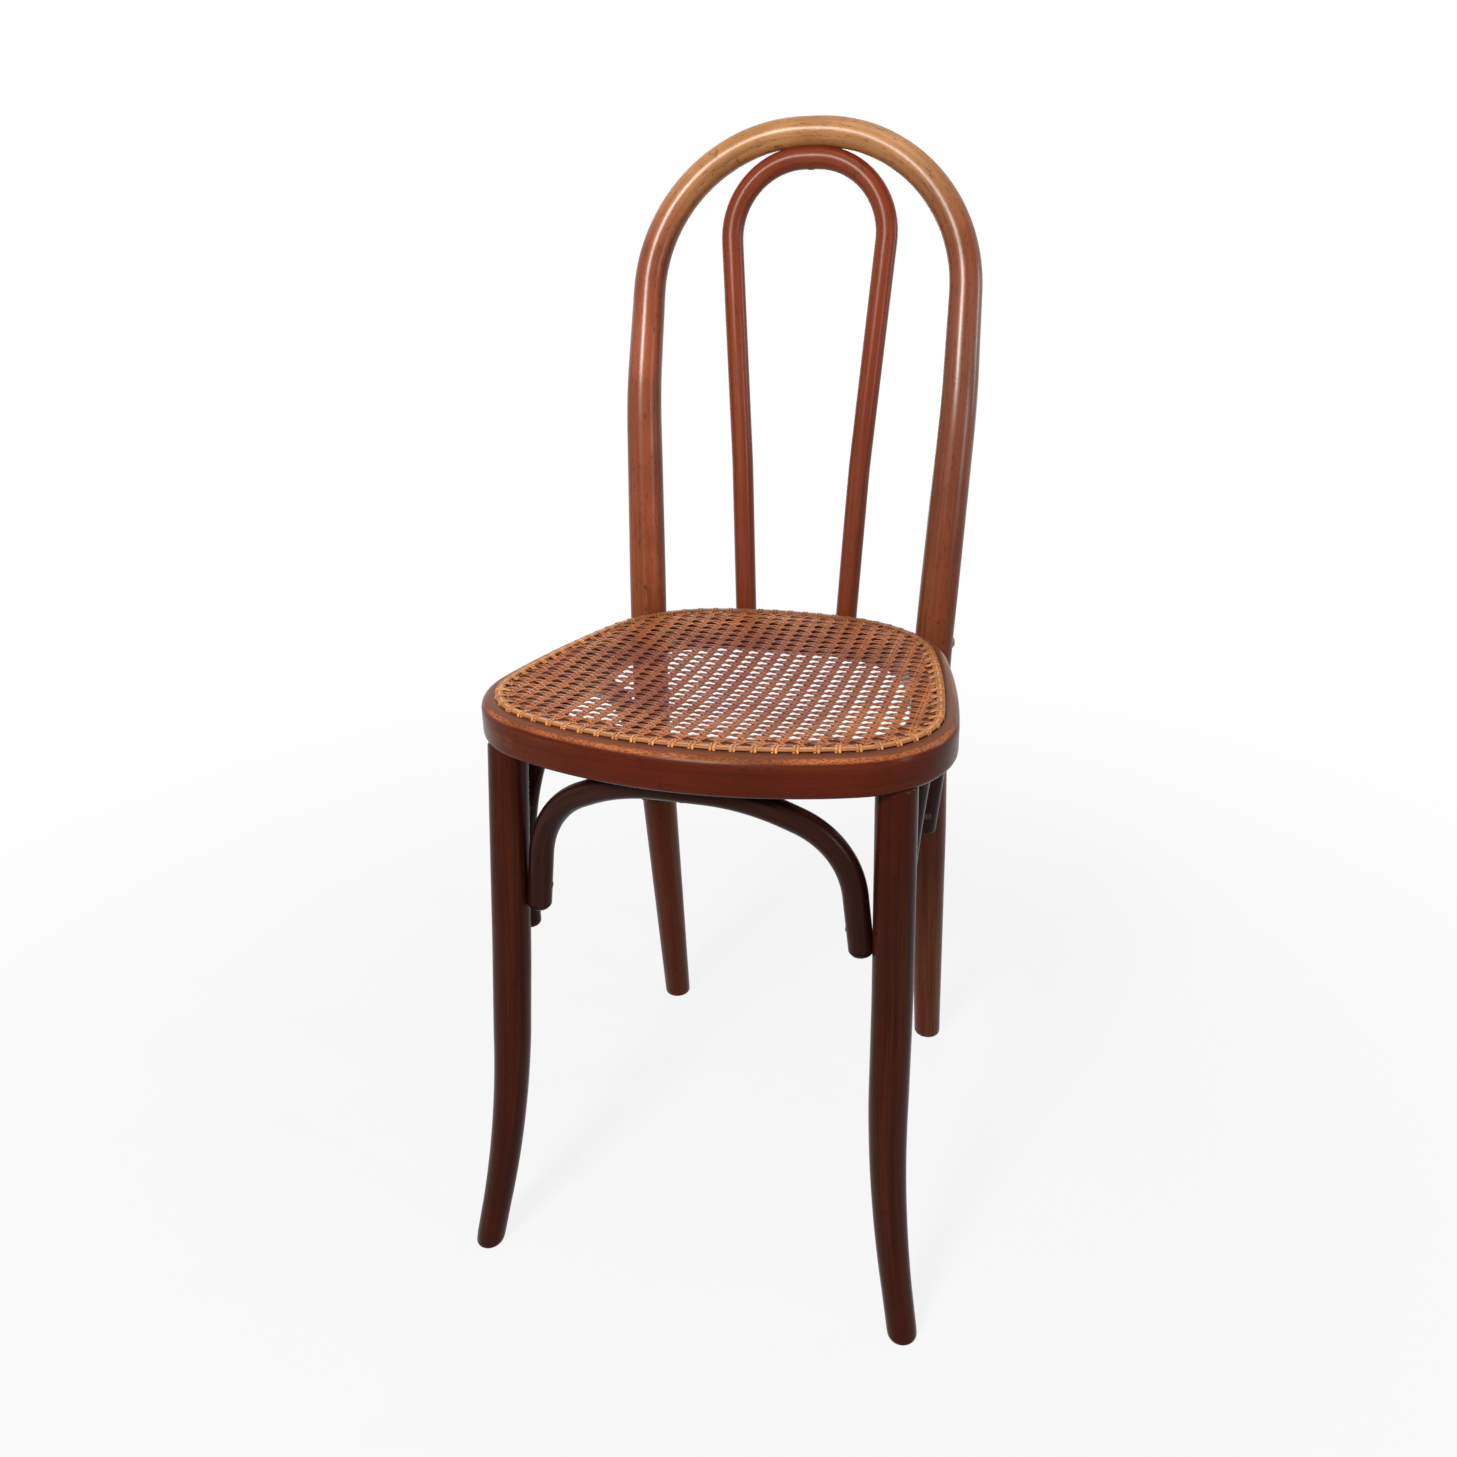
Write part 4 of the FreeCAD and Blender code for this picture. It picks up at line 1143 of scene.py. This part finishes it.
class CHAIR_OT_bolts(bpy.types.Operator):
    """Set the bolt, washers and nut that hold each stile to the rim"""
    bl_idname = "chair.bolts"
    bl_label = "Bolts"

    def execute(self, context):
        material = dull_steel("bolt_steel", context.scene.chair_finish.steel, tint(52, 40, 33))
        inward = (NUT_SEAT - BOLT_HEAD).normalized()
        heads = both_sides(BOLT_HEAD, inward)
        bolt = domed_head("domed_back_bolts", diameter=0.0130, height=0.0032, shank=0.0060,
                          span=(NUT_SEAT - BOLT_HEAD).length + BOLT_PAST_NUT, slot=0.0016)
        set_fasteners(bolt, heads, 45, material, "bolt_steel", "back_bolts")

        washer = turned_blank("flat_washers", 36, WASHER_RADIUS, 0, WASHER_THICK)
        with editing(washer):
            soften_ends(washer, WASHER_EDGE, 2)
            pick(washer, "FACE", lambda face: is_end(face) and abs(face.normal.x) > 0.9)
            bpy.ops.mesh.inset(thickness=WASHER_WALL)
            bpy.ops.mesh.delete(type="FACE")
            pick(washer, "EDGE", lambda edge: edge.is_boundary)
            bpy.ops.mesh.bridge_edge_loops()
            face_outward()
        seats = heads + both_sides(WASHER_SEAT - inward * SEAT_LIFT, inward)
        set_fasteners(washer, seats, 45, material, "bolt_steel", "back_bolt_washers")

        nut = turned_blank("hexagon_nuts", 6, NUT_HALF / math.cos(math.pi / 6), 0, NUT_THICK)
        with editing(nut):
            pick(nut, "FACE", lambda face: abs(face.normal.x) > 0.9)
            bpy.ops.mesh.inset(thickness=NUT_INSET)
            pick(nut, "EDGE", lambda edge: abs(abs(middle(edge).x - NUT_THICK / 2) - NUT_THICK / 2) < 1e-6
                 and math.hypot(middle(edge).y, middle(edge).z) > NUT_OUTLINE)
            bpy.ops.mesh.bevel(offset=NUT_EDGE, segments=2, affect="EDGES")
        seats = both_sides(NUT_SEAT - inward * SEAT_LIFT, inward)
        set_fasteners(nut, seats, 30, material, "bolt_steel", "back_bolt_nuts")
        return {"FINISHED"}


class CHAIR_OT_pegs(bpy.types.Operator):
    """Finish the small pegs that lock the strands in their holes"""
    bl_idname = "chair.pegs"
    bl_label = "Pegs"

    def execute(self, context):
        finish = material_finish("peg_wood")
        lines = finish.noise(finish.place(), (500, 500, 60), 3, 0.6).between(0.3, 0.7)
        body = finish.blend(lines * 0.6, tint(176, 118, 66), tint(112, 66, 36))
        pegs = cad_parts["cane_pegs"]
        pegs.data.materials.clear()
        pegs.data.materials.append(finish.close(body, lines * 0.2 + 0.5, lines, 0.0002, 0.4))
        return {"FINISHED"}


# Stage: the camera as the photograph gives it, and lamps of (name, place, width, height, power, colour)

CAMERA_PLACE = Vector((0.256488, -0.856643, 0.769423))
CAMERA_TURNS = (15.504868, -19.264559, -0.423512)
PHOTO_SIDE = 1457.0
FOCAL = 1144.335
OPTICAL_CENTRE = (773.740, 659.984)
SENSOR = 36.0
FLOOR_SIDE = 24
FLOOR_GREYS = ((0.48, 0.48, 0.48, 1), (0.52, 0.52, 0.52, 1))
WHITE = (1, 1, 1)
WINDOW_BLUE = (0.78, 0.87, 1.0)
ROOM_DIM, ROOM_BRIGHT = 0.16, 1.0
LAMP_TARGET = Vector((0, 0, 0.5))
LAMPS = (
    ("key_light", (-0.38, -1.66, 1.60), 0.46, 0.46, 44, (1.0, 0.98, 0.95)),
    ("overhead", (0.2, -0.2, 2.5), 1.0, 1.0, 11, WHITE),
    ("back_fill", (-0.8, 2.1, 0.6), 0.8, 0.8, 7, WHITE),
    ("window_front", (1.6, -0.53, 0.85), 0.06, 0.45, 5.5, WINDOW_BLUE),
    ("window_rear", (1.5, 0.70, 0.95), 0.07, 0.50, 4.5, WINDOW_BLUE),
)


def set_camera(scene):
    """The camera that stands where the photograph was taken."""
    yaw, pitch, roll = (math.radians(turn) for turn in CAMERA_TURNS)
    ahead = Vector((-math.sin(yaw) * math.cos(pitch), math.cos(yaw) * math.cos(pitch), math.sin(pitch)))
    level = Vector((math.cos(yaw), math.sin(yaw), 0))
    above = level.cross(ahead)
    right = level * math.cos(roll) + above * math.sin(roll)
    top = above * math.cos(roll) - level * math.sin(roll)
    lens = bpy.data.cameras.new("photo_camera")
    lens.sensor_fit = "HORIZONTAL"
    lens.sensor_width = SENSOR
    lens.lens = SENSOR * FOCAL / PHOTO_SIDE
    lens.shift_x = -(OPTICAL_CENTRE[0] / PHOTO_SIDE - 0.5)
    lens.shift_y = OPTICAL_CENTRE[1] / PHOTO_SIDE - 0.5
    lens.clip_start = 0.01
    camera = bpy.data.objects.new("photo_camera", lens)
    bpy.context.collection.objects.link(camera)
    turn = Matrix((right, top, -ahead)).transposed().to_4x4()
    camera.matrix_world = Matrix.Translation(CAMERA_PLACE) @ turn
    scene.camera = camera


def soft_box(name, place, width, height, power, shade):
    """A rectangular soft light aimed at the chair."""
    light = bpy.data.lights.new(name, "AREA")
    light.shape = "RECTANGLE"
    light.size, light.size_y = width, height
    light.energy = power
    light.color = shade
    lamp = bpy.data.objects.new(name, light)
    bpy.context.collection.objects.link(lamp)
    aim = (LAMP_TARGET - Vector(place)).to_track_quat("-Z", "Y").to_matrix().to_4x4()
    lamp.matrix_world = Matrix.Translation(place) @ aim


def floor_material():
    """A pale floor that fades to white for the camera and can't be seen from below."""
    finish = material_finish("pale_floor")
    place = finish.place()
    speck = finish.noise(place, (6, 6, 6), 3, 0.5)
    base = finish.blend(speck, *FLOOR_GREYS)
    matte = finish.node("ShaderNodeBsdfPrincipled", None, {"Base Color": base, "Roughness": 0.9,
                                                           "Specular IOR Level": 0.1})["BSDF"]
    white = finish.node("ShaderNodeEmission", None, {"Color": (*WHITE, 1), "Strength": 1.0})["Emission"]
    seen = finish.node("ShaderNodeLightPath")
    x, y, _ = finish.split(place)
    eye = seen["Is Camera Ray"] + seen["Is Glossy Ray"] + seen["Is Transmission Ray"]
    share = (finish.distance(x, y).between(0.3, 1.4) * 0.14 + 0.86) * eye
    surface = finish.node("ShaderNodeMixShader", None, {0: share, 1: matte, 2: white})["Shader"]
    clear = finish.node("ShaderNodeBsdfTransparent")["BSDF"]
    from_below = finish.node("ShaderNodeNewGeometry")["Backfacing"]
    surface = finish.node("ShaderNodeMixShader", None, {0: from_below, 1: surface, 2: clear})["Shader"]
    finish.node("ShaderNodeOutputMaterial", None, {"Surface": surface})
    return finish.holder


def light_room(scene):
    """White all round, dimmed where it only lights the chair, and the lamps."""
    room = Finish(bpy.data.worlds.new("soft_room"))
    lit = room.node("ShaderNodeLightPath")["Is Diffuse Ray"]
    bright, dim = (room.node("ShaderNodeBackground", None, {"Color": (*WHITE, 1), "Strength": strength})
                   for strength in (ROOM_BRIGHT, ROOM_DIM))
    mix = room.node("ShaderNodeMixShader", None, {0: lit, 1: bright["Background"], 2: dim["Background"]})
    room.node("ShaderNodeOutputWorld", None, {"Surface": mix["Shader"]})
    scene.world = room.holder
    for lamp in LAMPS:
        soft_box(*lamp)


class CHAIR_OT_stage(bpy.types.Operator):
    """Set the pale floor, the soft lights and the camera"""
    bl_idname = "chair.stage"
    bl_label = "Stage"

    def execute(self, context):
        set_camera(context.scene)
        clear_bench()
        bpy.ops.mesh.primitive_plane_add(size=FLOOR_SIDE, location=(0, 0, 0))
        floor = context.object
        floor.name = "floor"
        floor.data.materials.append(floor_material())
        light_room(context.scene)
        context.scene.view_settings.view_transform = "Standard"
        return {"FINISHED"}


STEPS = (CHAIR_OT_back_frame, CHAIR_OT_inner_loop, CHAIR_OT_front_legs, CHAIR_OT_front_arch,
         CHAIR_OT_side_arches, CHAIR_OT_seat_rim, CHAIR_OT_cane_panel, CHAIR_OT_binder, CHAIR_OT_screws,
         CHAIR_OT_bolts, CHAIR_OT_pegs, CHAIR_OT_stage)


class CHAIR_PT_workbench(bpy.types.Panel):
    """Sizes, colours and steps of the chair"""
    bl_label = "Bistro Chair"
    bl_idname = "CHAIR_PT_workbench"
    bl_space_type = "VIEW_3D"
    bl_region_type = "UI"
    bl_category = "Bistro Chair"

    def draw(self, context):
        for title, group in (("Sizes", context.scene.chair_sizes), ("Finish", context.scene.chair_finish)):
            box = self.layout.box()
            box.label(text=title)
            for name in group.__annotations__:
                box.prop(group, name)
        column = self.layout.column(align=True)
        for step in STEPS:
            column.operator(step.bl_idname)


CLASSES = (ChairSizes, ChairFinish) + STEPS + (CHAIR_PT_workbench,)


def register():
    for made in CLASSES:
        bpy.utils.register_class(made)
    bpy.types.Scene.chair_sizes = bpy.props.PointerProperty(type=ChairSizes)
    bpy.types.Scene.chair_finish = bpy.props.PointerProperty(type=ChairFinish)


def unregister():
    del bpy.types.Scene.chair_finish
    del bpy.types.Scene.chair_sizes
    for made in reversed(CLASSES):
        bpy.utils.unregister_class(made)


def main():
    """Makes every piece in turn."""
    register()
    for step in STEPS:
        group, name = step.bl_idname.split(".")
        getattr(getattr(bpy.ops, group), name)()


if __name__ == "__main__":
    main()
